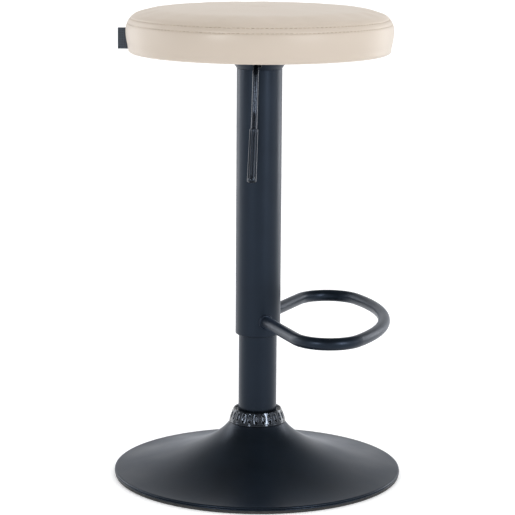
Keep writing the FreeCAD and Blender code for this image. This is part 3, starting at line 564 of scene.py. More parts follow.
@dataclass(frozen=True)
class FauxLeather(Finish):
    """Coated upholstery fabric: smooth cream skin with a fine pebbled grain and a soft sheen."""

    shade: str = "c6b9aa"
    grain_mm: float = 1.3
    cloud_mm: float = 90

    def dress(self, surface: Surface) -> None:
        """Pebbles with fine pores, and faint clouds in the coating."""
        pebbles = surface.cells(self.grain_mm, "SMOOTH_F1", randomness=0.9)
        pores = surface.noise(self.grain_mm / 3, detail=2.0)
        skin = surface.combine("MULTIPLY_ADD", pebbles, pores, 0.0)
        clouds = surface.noise(self.cloud_mm, detail=2.0)
        surface.colour(clouds, self.shade, self.colour, (0.2, 0.6))
        surface.roughness(clouds, self.roughness - 0.04, self.roughness + 0.06)
        surface.bump(skin, 0.06, 0.45)
        surface.set(Specular_IOR_Level=0.4, Sheen_Weight=0.08, Sheen_Roughness=0.5)


@dataclass(frozen=True)
class WovenCloth(Finish):
    """Plain-woven cloth: crossing threads, with painted shade in the gaps between them."""

    thread_mm: float = 0.7
    # gap: the darker colour painted into the gaps between the threads as shade
    gap: str = "101215"
    sheen: float = 0.2

    def dress(self, surface: Surface) -> None:
        """Warp and weft as two wave bands, raised, with painted shade in the gaps between them."""
        warp = surface.bands(self.thread_mm, "Z", distortion=0.6)
        weft = surface.bands(self.thread_mm, "X", distortion=0.6)
        cloth = surface.combine("MAXIMUM", warp, weft)
        # Painted shade: where neither thread lies, the colour goes to the dark gap colour
        surface.colour(cloth, self.gap, self.colour, (0.2, 0.9))
        surface.bump(cloth, 0.12, 0.7)
        surface.set(Sheen_Weight=self.sheen)


@dataclass(frozen=True)
class BondedCloth(Finish):
    """Spun-bonded lining: matted fibres pressed flat, with a grid of small welded dots."""

    dot_mm: float = 2.4
    fibre: str = "34363a"

    def dress(self, surface: Surface) -> None:
        """Welded dots over matted fibres."""
        dots = surface.cells(self.dot_mm, randomness=0.15)
        fibres = surface.noise(0.8, detail=6.0, roughness=0.7)
        mixed = surface.combine("MULTIPLY_ADD", fibres, 0.6, dots)
        surface.colour(fibres, self.colour, self.fibre)
        surface.bump(mixed, 0.15, 0.6)


@dataclass(frozen=True)
class Foam(Finish):
    """Cut polyether foam: open cells of about a millimetre."""

    cell_mm: float = 1.2
    wall: str = "b9a56a"

    def dress(self, surface: Surface) -> None:
        """Open cells."""
        cells = surface.cells(self.cell_mm)
        surface.colour(cells, self.colour, self.wall, (0.2, 0.7))
        surface.bump(cells, 0.5, 0.8)


@dataclass(frozen=True)
class SewingThread(Finish):
    """Twisted polyester thread: fine slanted plies, with painted shade in the creases between them, and
    a silky sheen.
    """

    ply_mm: float = 0.7
    # The darker colour painted into the creases between the plies as shade
    crease_shade: str = "a3927d"

    def dress(self, surface: Surface) -> None:
        """Slanted plies, with painted shade in the creases between them."""
        plies = surface.bands(self.ply_mm, "DIAGONAL")
        # Painted shade: the creases between the plies take the darker crease colour
        surface.colour(plies, self.crease_shade, self.colour, (0.1, 0.7))
        surface.bump(plies, 0.08, 0.7)
        surface.set(Sheen_Weight=0.3)


FINISHES: dict[Slot, Finish] = {
    Slot.POWDER_COAT: PowderCoat("powder_coated_steel_matt_black", "0a0f14", 0.36),
    Slot.LEVER_ENAMEL: RodEnamel("stoved_enamel_satin_black", "0d0f12", 0.24),
    Slot.GLOSS_ABS: MouldedPlastic("polished_abs_black", "07090b", 0.12, 1.46, texture_mm=6,
                                   depth_mm=0.004, coat=0.2),
    Slot.GRIP_PLASTIC: MouldedPlastic("moulded_polypropylene_black", "15181c", 0.34, 1.49),
    Slot.RUBBER: Rubber("moulded_rubber_black", "121314", 0.7),
    Slot.BARE_STEEL: TurnedSteel("turned_mild_steel", "8c8e90", 0.38, metallic=1.0),
    Slot.BEARING_STEEL: TurnedSteel("ground_bearing_steel", "b4b6b8", 0.18, metallic=1.0,
                                    stain="9a9c9f"),
    Slot.CHROMED_ROD: TurnedSteel("hard_chromed_rod", "d2d4d6", 0.1, metallic=1.0, stain="c4c6c9"),
    Slot.CYLINDER_PAINT: RodEnamel("painted_gas_cylinder", "101113", 0.3),
    Slot.ZINC: TurnedSteel("bright_zinc_plate", "b9bcc0", 0.3, metallic=1.0, stain="9b9fa2"),
    Slot.ACETAL: MouldedPlastic("moulded_acetal_natural", "e4e2dc", 0.42, 1.48),
    Slot.PLYWOOD: Plywood("birch_plywood_sanded", "dcc39a", 0.6),
    Slot.FOAM: Foam("cut_polyether_foam", "d8cb9a", 0.9),
    Slot.FAUX_LEATHER: FauxLeather("coated_upholstery_fabric_cream", "cabdaf", 0.4),
    Slot.NON_WOVEN: BondedCloth("spunbonded_lining_black", "1e2023", 0.85),
    # The label's gap colour is painted shade between its threads
    Slot.WOVEN_LABEL: WovenCloth("damask_woven_label_charcoal", "3a4450", 0.75,
                                  thread_mm=0.36, gap="1c222a"),
}
# The thread's crease colour is painted shade between its plies
THREAD = SewingThread("twisted_polyester_thread_sand", "bcaa95", 0.55)
BLACK_ACETAL = MouldedPlastic("moulded_acetal_black", "15191e", 0.3, 1.48)
FLOOR_VINYL = MouldedPlastic("rolled_vinyl_floor_white", "f6f6f6", 0.8, texture_mm=4)


def dress_piece(piece: Object, finish: Finish) -> None:
    """Gives a piece one finish in place of all its materials."""
    piece.data.materials.clear()
    piece.data.materials.append(finish.material())


def hand_over(piece: Object, body: str, slot: Slot, *stands_for: str,
              finish: Optional[Finish] = None) -> Object:
    """Finishes a new piece and joins it to the frame.

    Args:
        piece: the finished object.
        body: the CAD body that it moves with.
        slot: the record's material slot.
        stands_for: the CAD nodes that it replaces.
        finish: its finish, if it isn't the slot's own.

    Returns:
        The piece.
    """
    dress_piece(piece, finish or FINISHES[slot])
    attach(piece, body)
    if stands_for:
        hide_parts(*stands_for)
    log.info("piece %s on %s: %d faces", piece.name, body, len(piece.data.polygons))
    return piece


def label_angle() -> float:
    """The azimuth of the side label, in radians."""
    low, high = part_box("side_tag")
    middle = (low + high) / 2
    return math.atan2(middle.y, middle.x)


# --- cushion ---
@dataclass
class Cushion:
    """The round seat: crowned top panel, side band, two rows of stitches, hem under the board."""

    sides: int = 180
    stitch_count: int = 180
    fullness: float = 1.8 * MM
    foot_inset: float = 3.0 * MM
    foot_round: float = 8.0 * MM
    widest_lift: float = 33.0 * MM
    seam_lift: float = 45.6 * MM
    seam_inset: float = 6.6 * MM
    shoulder_inset: float = 23.0 * MM
    shoulder_drop: float = 3.4 * MM
    crown_sink: float = 1.0 * MM
    topstitch_lift: float = 38.6 * MM
    blank_inset: float = 1.2 * MM
    swell_cap: float = 2.6 * MM
    voxel: float = 5.0 * MM
    pressure: float = 4.0
    frames: int = 20
    pleats: int = 44
    thread_radius: float = 0.36 * MM
    stitch_length: float = 4.9 * MM
    seam_width: float = 1.1 * MM
    stitch_width: float = 1.0 * MM
    seam_depth: float = 0.75 * MM
    stitch_depth: float = 0.5 * MM
    pucker_depth: float = 0.2 * MM
    label_depth: float = 0.9 * MM
    gather_depth: float = 0.35 * MM
    held_foot: float = 4 * MM
    held_seam: float = 3.2 * MM
    cloth_mass: float = 0.3
    end_dip: float = 0.55 * MM
    look_from: float = 40 * MM
    seed: int = 7
    waves: tuple[int, ...] = (3, 5, 8, 13, 21)

    def __post_init__(self) -> None:
        """Takes the cushion's place from the frame."""
        low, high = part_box("seat_cover")
        board_low, board_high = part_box("seat_board")
        self.low, self.top = low.z, high.z
        self.radius = (high.y - low.y) / 2 + self.fullness
        self.board_radius, self.board_low = board_high.x, board_low.z
        self.board_top = board_high.z
        self.hem_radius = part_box("dust_cover")[1].x + 0.3 * MM
        self.stitch_line = self.low + self.topstitch_lift
        self.seam = (self.radius - self.seam_inset, self.low + self.seam_lift)
        self.label_angle = label_angle()

    def outside(self, inset: float = 0.0) -> list[Point]:
        """The cushion's outside from the crown to the hem's inner edge.

        Args:
            inset: how far the whole outside is set in.

        Returns:
            A dense path of radius and height.
        """
        top = self.top - self.crown_sink - inset
        seam = (self.seam[0] - inset, self.seam[1] - inset / 2)
        shoulder = (self.radius - self.shoulder_inset, top - self.shoulder_drop)
        side, widest = self.radius - inset, self.low + self.widest_lift
        foot_radius = self.radius - self.foot_inset - inset
        low = self.low + inset
        foot = (foot_radius, low + self.foot_round)
        drop = seam[1] - widest
        spans = [
            [(0.002, top), (shoulder[0] / 2, top), shoulder],
            [shoulder, (shoulder[0] + 10 * MM, shoulder[1] - 0.9 * MM),
             (seam[0] - 0.5 * MM, seam[1] + 9.0 * MM), seam],
            [seam, (side - 1.2 * MM, seam[1] - drop * 0.35), (side, widest + drop * 0.4),
             (side, widest)],
            [(side, widest), (side, self.low + 18 * MM),
             (foot_radius + 0.5 * MM, foot[1] + 5 * MM), foot],
            [foot, (foot_radius - 0.3 * MM, low + 2.5 * MM), (foot_radius - 2.5 * MM, low),
             (foot_radius - self.foot_round, low)],
            [(foot_radius - self.foot_round, low), (self.hem_radius, low)],
        ]
        path = []
        for poles in spans:
            length = math.dist(poles[0], poles[-1])
            steps = max(4, int(length / (0.15 * MM)))
            path += [curve_through(poles, i / steps) for i in range(steps)]
        return path + [spans[-1][-1]]

    def spacing(self, point: Point) -> float:
        """The wanted ring spacing: fine at the seam and the topstitch, coarse on the crown."""
        if point[0] < self.radius - self.shoulder_inset:
            return 7 * MM
        from_lines = min(abs(point[1] - self.seam[1]), abs(point[1] - self.stitch_line))
        return min(4.5 * MM, 1.1 * MM + 0.45 * from_lines)

    def blank(self) -> Object:
        """A closed cushion, slightly too small, for the simulation."""
        path = resample(self.outside(self.blank_inset), lambda _: 5 * MM)
        return turned_piece("cushion_blank", 96, path, closed=False)

    def inflate(self, blank: Object) -> Object:
        """Inflates the blank as cloth that is held along its seam and under the board.

        Args:
            blank: the closed blank.

        Returns:
            The same object, swollen, with its movement capped.
        """
        apply_modifier(blank, "REMESH", mode="VOXEL", voxel_size=self.voxel)
        start = [v.co.copy() for v in blank.data.vertices]
        held = blank.vertex_groups.new(name="held")
        seam = Vector((self.seam[0] - self.blank_inset, self.seam[1]))
        for vertex in blank.data.vertices:
            from_seam = (Vector((radius_of(vertex.co), vertex.co.z)) - seam).length
            on_strip = radius_of(vertex.co) > seam.x and vertex.co.z > self.stitch_line
            if vertex.co.z < self.low + self.held_foot or from_seam < self.held_seam or on_strip:
                held.add([vertex.index], 1.0, "REPLACE")
        pick(blank)
        cloth = blank.modifiers.new("Cloth", "CLOTH")
        settings = cloth.settings
        settings.use_pressure = True
        settings.uniform_pressure_force = self.pressure
        settings.effector_weights.gravity = 0
        settings.vertex_group_mass = held.name
        settings.mass = self.cloth_mass
        cloth.point_cache.frame_start = 1
        cloth.point_cache.frame_end = self.frames
        for step in range(1, self.frames + 1):
            bpy.context.scene.frame_set(step)
        bpy.ops.object.modifier_apply(modifier=cloth.name)
        furthest = 0.0
        for vertex, was in zip(blank.data.vertices, start):
            move = vertex.co - was
            furthest = max(furthest, move.length)
            if move.length > self.swell_cap:
                vertex.co = was + move.normalized() * self.swell_cap
        log.info("cushion swelled by up to %.1f mm before its cap", furthest / MM)
        apply_modifier(blank, "SMOOTH", factor=0.5, iterations=6)
        return blank

    def skin(self) -> Object:
        """The cushion with its recess for the board, on clean rings."""
        outside = resample(self.outside(), self.spacing)
        under, over = self.board_low - 0.05 * MM, self.board_top + 0.05 * MM
        wall = self.board_radius + 0.1 * MM
        recess = [(self.hem_radius, under), (wall, under), (wall, over),
                  (self.board_radius / 2, over), (2 * MM, over)]
        return turned_piece("seat_cushion", self.sides, outside + recess, closed=False)

    def is_outside(self, place: Vector) -> bool:
        """True on the part of the skin that the simulation shapes."""
        return place.z > self.low + 3 * MM and (
            place.z > self.board_top + 2 * MM or radius_of(place) > self.board_radius + 3 * MM)

    def wrap(self, skin: Object, swollen: Object) -> None:
        """Lays the skin on the swollen cushion."""
        group = skin.vertex_groups.new(name="wrapped")
        for vertex in skin.data.vertices:
            if self.is_outside(vertex.co):
                group.add([vertex.index], 1.0, "REPLACE")
        apply_modifier(skin, "SHRINKWRAP", target=swollen, wrap_method="NEAREST_SURFACEPOINT",
                       vertex_group="wrapped")
        apply_modifier(skin, "SMOOTH", factor=0.5, iterations=2, vertex_group="wrapped")
        skin.vertex_groups.clear()
        bpy.data.objects.remove(swollen)

    def sew(self, skin: Object) -> None:
        """Sinks the seams, puckers them at each stitch and gathers the hem."""
        rng = random.Random(self.seed)
        waves = [(k, rng.uniform(0, FULL_TURN), rng.uniform(0.4, 1.0)) for k in self.waves]
        for vertex in skin.data.vertices:
            place = vertex.co
            radius = radius_of(place)
            if radius < 1 * MM:
                continue
            out = Vector((place.x / radius, place.y / radius, 0))
            angle = math.atan2(place.y, place.x)
            unrest = sum(size * math.sin(k * angle + phase) for k, phase, size in waves) / len(waves)
            pucker = 0.5 + 0.5 * math.cos(self.stitch_count * angle)
            if self.is_outside(place):
                place += self.seam_move(place, out, unrest, pucker)
                place += self.label_seam_move(place, out, angle)
            elif place.z < self.board_low + 0.2 * MM:
                place.z += self.hem_move(radius, angle, unrest)
            elif place.z < self.low + 3 * MM:
                place.z += 0.25 * MM * unrest
        skin.data.update()

    def seam_move(self, place: Vector, out: Vector, unrest: float, pucker: float) -> Vector:
        """How a point near the seam and the topstitch moves.

        Args:
            place: the point.
            out: the direction away from the column.
            unrest: a slow wave round the cushion, from -1 to 1.
            pucker: 1 at a needle hole and 0 between holes.

        Returns:
            The move.
        """
        from_seam = (Vector((radius_of(place), place.z)) - Vector(self.seam)).length
        seam = bell(from_seam, self.seam_width)
        from_stitch = place.z - self.stitch_line - 0.3 * MM * unrest
        on_band = radius_of(place) > self.seam[0] + 1.5 * MM
        stitch = bell(from_stitch, self.stitch_width) if on_band else 0.0
        shoulder = bell(place.z - self.seam[1] - 7 * MM, 5 * MM)
        foot = bell(place.z - self.low - 3 * MM, 7 * MM)
        pull = self.pucker_depth * pucker
        move = -out * ((self.seam_depth + pull) * seam + (self.stitch_depth + pull) * stitch)
        move += out * 0.5 * MM * unrest * shoulder
        move.z += (0.35 + 0.9 * foot) * MM * unrest * (1 - seam) - 0.3 * MM * seam
        return move

    def label_seam_move(self, place: Vector, out: Vector, angle: float) -> Vector:
        """How a point near the band's upright seam, where the label is sewn in, moves."""
        across = (angle - self.label_angle + math.pi) % FULL_TURN - math.pi
        if place.z >= self.stitch_line or radius_of(place) <= self.seam[0]:
            return Vector()
        return -out * self.label_depth * bell(across * self.radius, 2.2 * MM)

    def hem_move(self, radius: float, angle: float, unrest: float) -> float:
        """How far the hem's underside is lifted or dropped by its gathers."""
        span = self.radius - self.foot_round - self.hem_radius
        share = clamp((self.radius - self.foot_round - radius) / span)
        gather = math.sin(self.pleats * angle + 2.5 * unrest)
        return -self.gather_depth * share * max(0.0, gather)

    def stitch(self) -> Object:
        """One stitch along +X, its ends dipping to -Z."""
        deselect_all()
        rings, size = 5, 0.6
        start = -self.stitch_length / 2
        across, depth = start, -self.end_dip
        bpy.ops.mesh.primitive_circle_add(vertices=6, radius=self.thread_radius * size,
                                          location=(across, 0, depth),
                                          rotation=(0, math.pi / 2, 0), fill_type="NGON")
        piece = begin("stitch")
        for i in range(1, rings + 1):
            share = i / rings
            end = (2 * share - 1) ** 4
            next_across = start + self.stitch_length * share
            next_depth, next_size = -self.end_dip * end, 0.6 + 0.4 * (1 - end)
            scale = next_size / size
            next_ring((next_across - across, 0, next_depth - depth), (1, scale, scale),
                      (next_across, 0, next_depth))
            across, depth, size = next_across, next_depth, next_size
        end_edit()
        bpy.ops.object.shade_smooth()
        return piece

    def stitch_row(self, name: str, skin: Object, line: Point, slant: float) -> Object:
        """A row of stitches laid on the skin.

        Args:
            name: the row's name.
            skin: the finished cushion.
            line: the radius and height that the row is looked for at.
            slant: the angle above the horizon from which it is looked for, in degrees.

        Returns:
            The row as one piece.
        """
        tree = BVHTree.FromPolygons([v.co for v in skin.data.vertices],
                                    [p.vertices for p in skin.data.polygons])
        places = []
        rise = math.tan(math.radians(slant))
        for i in range(self.stitch_count):
            angle = FULL_TURN * (i + 0.5) / self.stitch_count
            out = Vector((math.cos(angle), math.sin(angle), 0))
            start = out * (line[0] + self.look_from) + UP * (line[1] + rise * self.look_from)
            hit, normal, _, _ = tree.ray_cast(start, (-out - UP * rise).normalized())
            if hit is None:
                continue
            along = UP.cross(out).normalized()
            up = (normal - along * normal.dot(along)).normalized()
            middle = Matrix.Translation(hit + up * self.thread_radius * 0.35)
            places.append(middle @ turned_to(along, up.cross(along), up))
        return copies_joined(name, self.stitch(), places)

    def build(self) -> None:
        """Makes the cushion and its stitches and joins them to the frame."""
        skin = self.skin()
        swollen = self.inflate(self.blank())
        self.wrap(skin, swollen)
        apply_modifier(skin, "SUBSURF", levels=1)
        self.sew(skin)
        smooth(skin, 50)
        rows = [
            self.stitch_row("band_topstitching", skin, (self.radius, self.stitch_line), 0),
            self.stitch_row("top_seam_stitching", skin, self.seam, 35)]
        hand_over(skin, "seat", Slot.FAUX_LEATHER, "seat_cover", "seat_foam")
        for row in rows:
            hand_over(row, "seat", Slot.FAUX_LEATHER, finish=THREAD)


# --- trim collar ---
@dataclass
class TrimCollar:
    """The glossy ring at the column's foot, with a rimmed oval pocket in each of its sectors."""

    sectors: int = 24
    columns: int = 16
    rows: int = 22
    bead_height: float = 3.2 * MM
    well_depth: float = 4.0 * MM
    wall: float = 2.2 * MM
    pocket_half_width: float = 1.95 * MM
    pocket_half_height: float = 4.6 * MM
    pocket_depth: float = 1.5 * MM
    rim_height: float = 0.3 * MM
    rib_height: float = 0.7 * MM
    rib_half_width: float = 0.45 * MM
    rim_reach: float = 1.4
    rim_spread: float = 0.22
    edge_reach: float = 1.15
    edge_spread: float = 0.4

    def __post_init__(self) -> None:
        """Takes the collar's sizes from the frame."""
        low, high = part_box("trim_collar")
        self.low, self.top = low.z, high.z
        self.foot_radius = high.x
        self.tube_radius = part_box("column_tube")[1].x
        self.lip_bore = self.tube_radius + 4.7 * MM
        self.lip = self.lip_bore + self.wall
        self.side_foot = (self.foot_radius - self.wall / 4, self.low + self.bead_height + 0.5 * MM)
        self.side_top = (self.lip, self.top - self.wall * 0.75)

    def outline(self) -> list[Point]:
        """The collar's closed section: bead, tapered side, rounded lip, well, bore."""
        low, top, wall, foot, lip = self.low, self.top, self.wall, self.foot_radius, self.lip
        bore, tube = self.lip_bore, self.tube_radius
        (foot_r, foot_z), (top_r, top_z) = self.side_foot, self.side_top
        side = [(foot_r + (top_r - foot_r) * i / self.rows, foot_z + (top_z - foot_z) * i / self.rows)
                for i in range(self.rows + 1)]
        web = top - self.well_depth
        return [
            (foot - wall * 0.8, low), (foot - 0.5 * MM, low), (foot, low + 0.9 * MM),
            (foot, low + self.bead_height - 0.9 * MM), (foot - 0.9 * MM, low + self.bead_height), *side,
            (lip - wall * 0.2, top - wall * 0.2), (lip - wall / 2, top),
            (lip - wall * 0.85, top - wall * 0.2), (bore, top - wall * 0.75), (bore, web + 0.3 * MM),
            (bore - 0.3 * MM, web), (tube + 0.35 * MM, web), (tube + 0.1 * MM, web - 0.3 * MM),
            (tube + 0.1 * MM, web - 4 * MM), (tube + 1.2 * MM, web - 5.2 * MM),
            (foot - wall * 1.6, low + 3 * MM)]

    def relief(self, place: Vector) -> float:
        """How far a point of the side stands out: rimmed oval pockets, each with a rib inside.

        Args:
            place: the point.

        Returns:
            The distance outwards, negative in a pocket.
        """
        radius = radius_of(place)
        middle = (self.side_foot[1] + self.side_top[1]) / 2
        inside = radius < self.lip_bore + self.wall * 0.6
        if inside or not self.side_foot[1] < place.z < self.side_top[1]:
            return 0.0
        pitch = FULL_TURN / self.sectors
        turn = (math.atan2(place.y, place.x) + pitch / 2) % pitch - pitch / 2
        across = turn * radius / self.pocket_half_width
        along = (place.z - middle) / self.pocket_half_height
        reach = math.hypot(across, along)
        rim = self.rim_height * bell(reach - self.rim_reach, self.rim_spread)
        share = clamp((self.edge_reach - reach) / self.edge_spread)
        sunk = self.pocket_depth * share * share * (3 - 2 * share)
        rib = self.rib_height * bell(turn * radius, self.rib_half_width) * share
        return rim - sunk + rib

    def build(self) -> None:
        """Makes the collar and joins it to the frame."""
        sides = self.sectors * self.columns
        piece = turned_piece("ribbed_trim_collar", sides, self.outline(), closed=True)
        for vertex in piece.data.vertices:
            out = Vector((vertex.co.x, vertex.co.y, 0)).normalized()
            vertex.co += out * self.relief(vertex.co)
        apply_modifier(piece, "SUBSURF", levels=1)
        smooth(piece, 70)
        hand_over(piece, "base", Slot.GLOSS_ABS, "trim_collar")


# --- trumpet base and sleeve foot ---
@dataclass
class TrumpetBase:
    """The pressed trumpet: concave flank, rolled edge, a groove round it and a second bead."""

    sides: int = 256
    neck_height: float = 71.0 * MM
    neck_radius: float = 37.5 * MM
    stub_radius: float = 34.0 * MM
    neck_slope: float = 58.0
    rim_slope: float = 6.0
    neck_pull: float = 0.22
    rim_pull: float = 0.35
    rim_round: float = 3.5 * MM
    rim_top: float = 8.6 * MM
    sheet: float = 2.0 * MM

    def flank(self, inset: float) -> list[Point]:
        """The flank from the neck to the rim.

        Args:
            inset: how far below its outer face.

        Returns:
            Its points, closer together near the neck.
        """
        neck, rim = math.radians(self.neck_slope), math.radians(self.rim_slope)
        top = (self.neck_radius - inset * math.sin(neck), self.neck_height - inset * math.cos(neck))
        foot = (self.radius - self.rim_round - inset * math.sin(rim),
                self.rim_top - inset * math.cos(rim))
        chord = math.dist(top, foot)
        a, b = self.neck_pull * chord, self.rim_pull * chord
        poles = [top, (top[0] + a * math.cos(neck), top[1] - a * math.sin(neck)),
                 (foot[0] - b * math.cos(rim), foot[1] + b * math.sin(rim)), foot]
        dense = [curve_through(poles, i / 800) for i in range(801)]
        return resample(dense, lambda p: 2 * MM + 0.03 * (p[0] - self.neck_radius))

    def rim(self) -> list[Point]:
        """The rim's section: rolled edge, groove, second bead, lip and the lip's inner face."""
        section = [
            (-2.9, 8.62), (-2.0, 8.55), (-1.2, 8.25), (-0.6, 7.75), (-0.35, 7.1), (-0.6, 6.6),
            (-1.1, 6.25), (-1.15, 5.9), (-0.7, 5.65), (-0.2, 5.4), (0, 5.0), (-0.1, 4.6), (-0.6, 4.3),
            (-1.0, 4.0), (-1.3, 3.82), (-1.8, 3.8), (-2.0, 4.1), (-2.0, 5.6), (-2.4, 6.3), (-3.4, 6.7)]
        return [(self.radius + r * MM, self.foot - 3.8 * MM + z * MM) for r, z in section]

    def build(self) -> None:
        """Makes the trumpet and joins it to the frame."""
        low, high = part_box("trumpet_base")
        self.radius, self.foot = high.x, low.z
        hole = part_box("column_tube")[1].x + 0.1 * MM
        outside = [p for p in self.flank(0) if p[0] < self.radius - 3.6 * MM]
        under = [p for p in self.flank(self.sheet) if p[0] < self.radius - 6 * MM][::-1]
        bore, stub, ceiling = self.stub_radius - self.sheet, self.stub_radius, high.z - self.sheet
        inner = [(bore, self.neck_height - self.sheet), (bore, ceiling), (hole, ceiling),
                 (hole, high.z), (stub, high.z), (stub, self.neck_height)]
        outline = outside + self.rim() + under + inner
        piece = turned_piece("trumpet_base_shell", self.sides, outline, closed=True)
        smooth(piece, 35)
        hand_over(piece, "base", Slot.POWDER_COAT, "trumpet_base")


@dataclass
class SleeveFoot:
    """The black guide ring whose rounded lip shows under the sleeve."""

    show: float = 1.3 * MM
    sides: int = 128

    def build(self) -> None:
        """Makes the ring and joins it to the frame."""
        low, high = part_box("sleeve_guide")
        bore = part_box("column_tube")[1].x + 0.1 * MM
        outer, foot = high.x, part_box("sleeve_tube")[0].z - self.show
        section = [(bore, foot + 0.5 * MM), (bore + 0.4 * MM, foot + 0.1 * MM), (bore + 1 * MM, foot),
                   (outer - 0.9 * MM, foot), (outer - 0.3 * MM, foot + 0.25 * MM),
                   (outer, foot + 0.8 * MM), (outer, high.z), (bore, high.z)]
        piece = turned_piece("sleeve_guide_ring", self.sides, section, closed=True)
        smooth(piece, 50)
        hand_over(piece, "seat", Slot.ACETAL, "sleeve_guide", finish=BLACK_ACETAL)


# --- lever grip ---
@dataclass
class LeverGrip:
    """The moulded grip: eight soft ridges, a plain band at the top and a domed end."""

    ridges: int = 8
    lean: float = 23.0
    length: float = 70.0 * MM
    top_radius: float = 5.7 * MM
    end_radius: float = 6.2 * MM
    groove: float = 1.25 * MM
    first_ridge: float = 18.5
    end_round: float = 2.6 * MM
    ridge_sides: int = 8
    shaft_steps: int = 14

    def place(self) -> Matrix:
        """Where the grip's top is and how it leans, from the frame."""
        joint = next(j for j in frame["joints"] if j["name"] == "lever_pull")
        axis = Vector(joint["axis"])
        away = axis.cross(UP).normalized()
        low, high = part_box("lever_grip")
        middle = (low + high) / 2
        if away.dot(middle) < 0:
            away = -away
        lean = math.radians(self.lean)
        down = (away * math.sin(lean) - UP * math.cos(lean)).normalized()
        side = axis.normalized()
        origin = away * (away.dot(middle) - down.dot(away) * self.length / 2)
        origin.z = high.z - self.top_radius * math.sin(lean)
        return Matrix.Translation(origin) @ turned_to(side, down.cross(side), down)

    def build(self) -> None:
        """Makes the grip and joins it to the frame."""
        deselect_all()
        top, shaft = self.top_radius, 2.6 * MM
        start = top - 0.8 * MM
        bpy.ops.mesh.primitive_circle_add(vertices=self.ridges * self.ridge_sides, radius=start,
                                          location=(0, 0, 0), fill_type="NGON")
        piece = begin("fluted_lever_grip")
        dome = self.length - self.end_round
        rings = [(top - 0.25 * MM, 0.2 * MM), (top, 0.9 * MM), (top, 1.8 * MM)]
        for i in range(self.shaft_steps + 1):
            share = i / self.shaft_steps
            rings.append((top + (self.end_radius - top) * share, shaft + (dome - shaft) * share))
        core = self.end_radius - self.end_round
        for angle in map(math.radians, (25, 50, 72, 88)):
            rings.append((core + self.end_round * math.cos(angle),
                          dome + self.end_round * math.sin(angle)))
        grow((start, 0.0), rings + [(core / 2, self.length)])
        end_edit()
        self.cut_grooves(piece, dome)
        apply_modifier(piece, "SUBSURF", levels=2)
        piece.data.transform(self.place())
        smooth(piece, 60)
        hand_over(piece, "lever", Slot.GRIP_PLASTIC, "lever_grip")

    def cut_grooves(self, piece: Object, dome: float) -> None:
        """Sinks the grooves between the ridges, fading out at both ends.

        Args:
            piece: the plain grip, along +Z.
            dome: the height at which the domed end starts.
        """
        for vertex in piece.data.vertices:
            radius = radius_of(vertex.co)
            if radius < 2 * MM:
                continue
            angle = math.atan2(vertex.co.y, vertex.co.x)
            turn = self.ridges * (angle - math.radians(self.first_ridge))
            wave = max(0.0, -math.cos(turn)) ** 0.7
            fade_in = clamp((vertex.co.z - 1.5 * MM) / (1.5 * MM))
            fade_out = clamp((dome + 0.5 * MM - vertex.co.z) / (3 * MM))
            share = (radius - self.groove * wave * fade_in * fade_out) / radius
            vertex.co.x *= share
            vertex.co.y *= share


# --- side label ---
@dataclass
class SideLabel:
    """The small woven label, folded over and sewn into the band's upright seam."""

    cloth: float = 0.45 * MM
    gap: float = 0.5 * MM

    def build(self) -> None:
        """Makes the label and joins it to the frame."""
        low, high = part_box("side_tag")
        outer = max(abs(low.x), abs(high.x))
        inner = min(abs(low.x), abs(high.x))
        half = (self.gap + self.cloth) / 2
        fold = outer - half - self.cloth / 2
        steps, sewn_in = 6, inner - 2 * MM
        straight = [(fold - inner) * i / steps for i in range(steps + 1)]
        bend = [math.radians(turn) for turn in (30, 60, 90, 120, 150)]
        path = [(sewn_in, -half), *((inner + run, -half) for run in straight),
                *((fold + half * math.sin(a), -half * math.cos(a)) for a in bend),
                *((fold - run, half) for run in straight), (sewn_in, half)]
        deselect_all()
        bpy.ops.mesh.primitive_grid_add(x_subdivisions=len(path) - 1, y_subdivisions=8, size=1)
        piece = begin("folded_side_label")
        bpy.ops.object.mode_set(mode="OBJECT")
        for vertex in piece.data.vertices:
            x, y = path[round((vertex.co.x + 0.5) * (len(path) - 1))]
            vertex.co = (x, y, low.z + (vertex.co.y + 0.5) * (high.z - low.z))
        apply_modifier(piece, "SOLIDIFY", thickness=self.cloth, offset=0.0)
        apply_modifier(piece, "SUBSURF", levels=2)
        for vertex in piece.data.vertices:
            share = (vertex.co.z - low.z) / (high.z - low.z)
            out = max(0.0, (vertex.co.x - inner) / (outer - inner))
            vertex.co.y += 0.5 * MM * out * math.sin(3.1 * share + 0.6)
        piece.data.transform(Matrix.Rotation(label_angle(), 4, "Z"))
        smooth(piece, 50)
        hand_over(piece, "seat", Slot.WOVEN_LABEL, "side_tag")


# --- carried-over CAD nodes ---
class MetalAndFittings:
    """The CAD nodes whose shape is right, dressed in their finishes."""

    def build(self) -> None:
        """Gives each CAD node that still shows the finish of its slot."""
        dressed = 0
        for name, node in frame["nodes"].items():
            if node.hide_render:
                continue
            slot = Slot(node.data.materials[0].name.split(".")[0])
            for i in range(len(node.data.materials)):
                node.data.materials[i] = FINISHES[slot].material()
            dressed += 1
        log.info("CAD nodes dressed: %d", dressed)


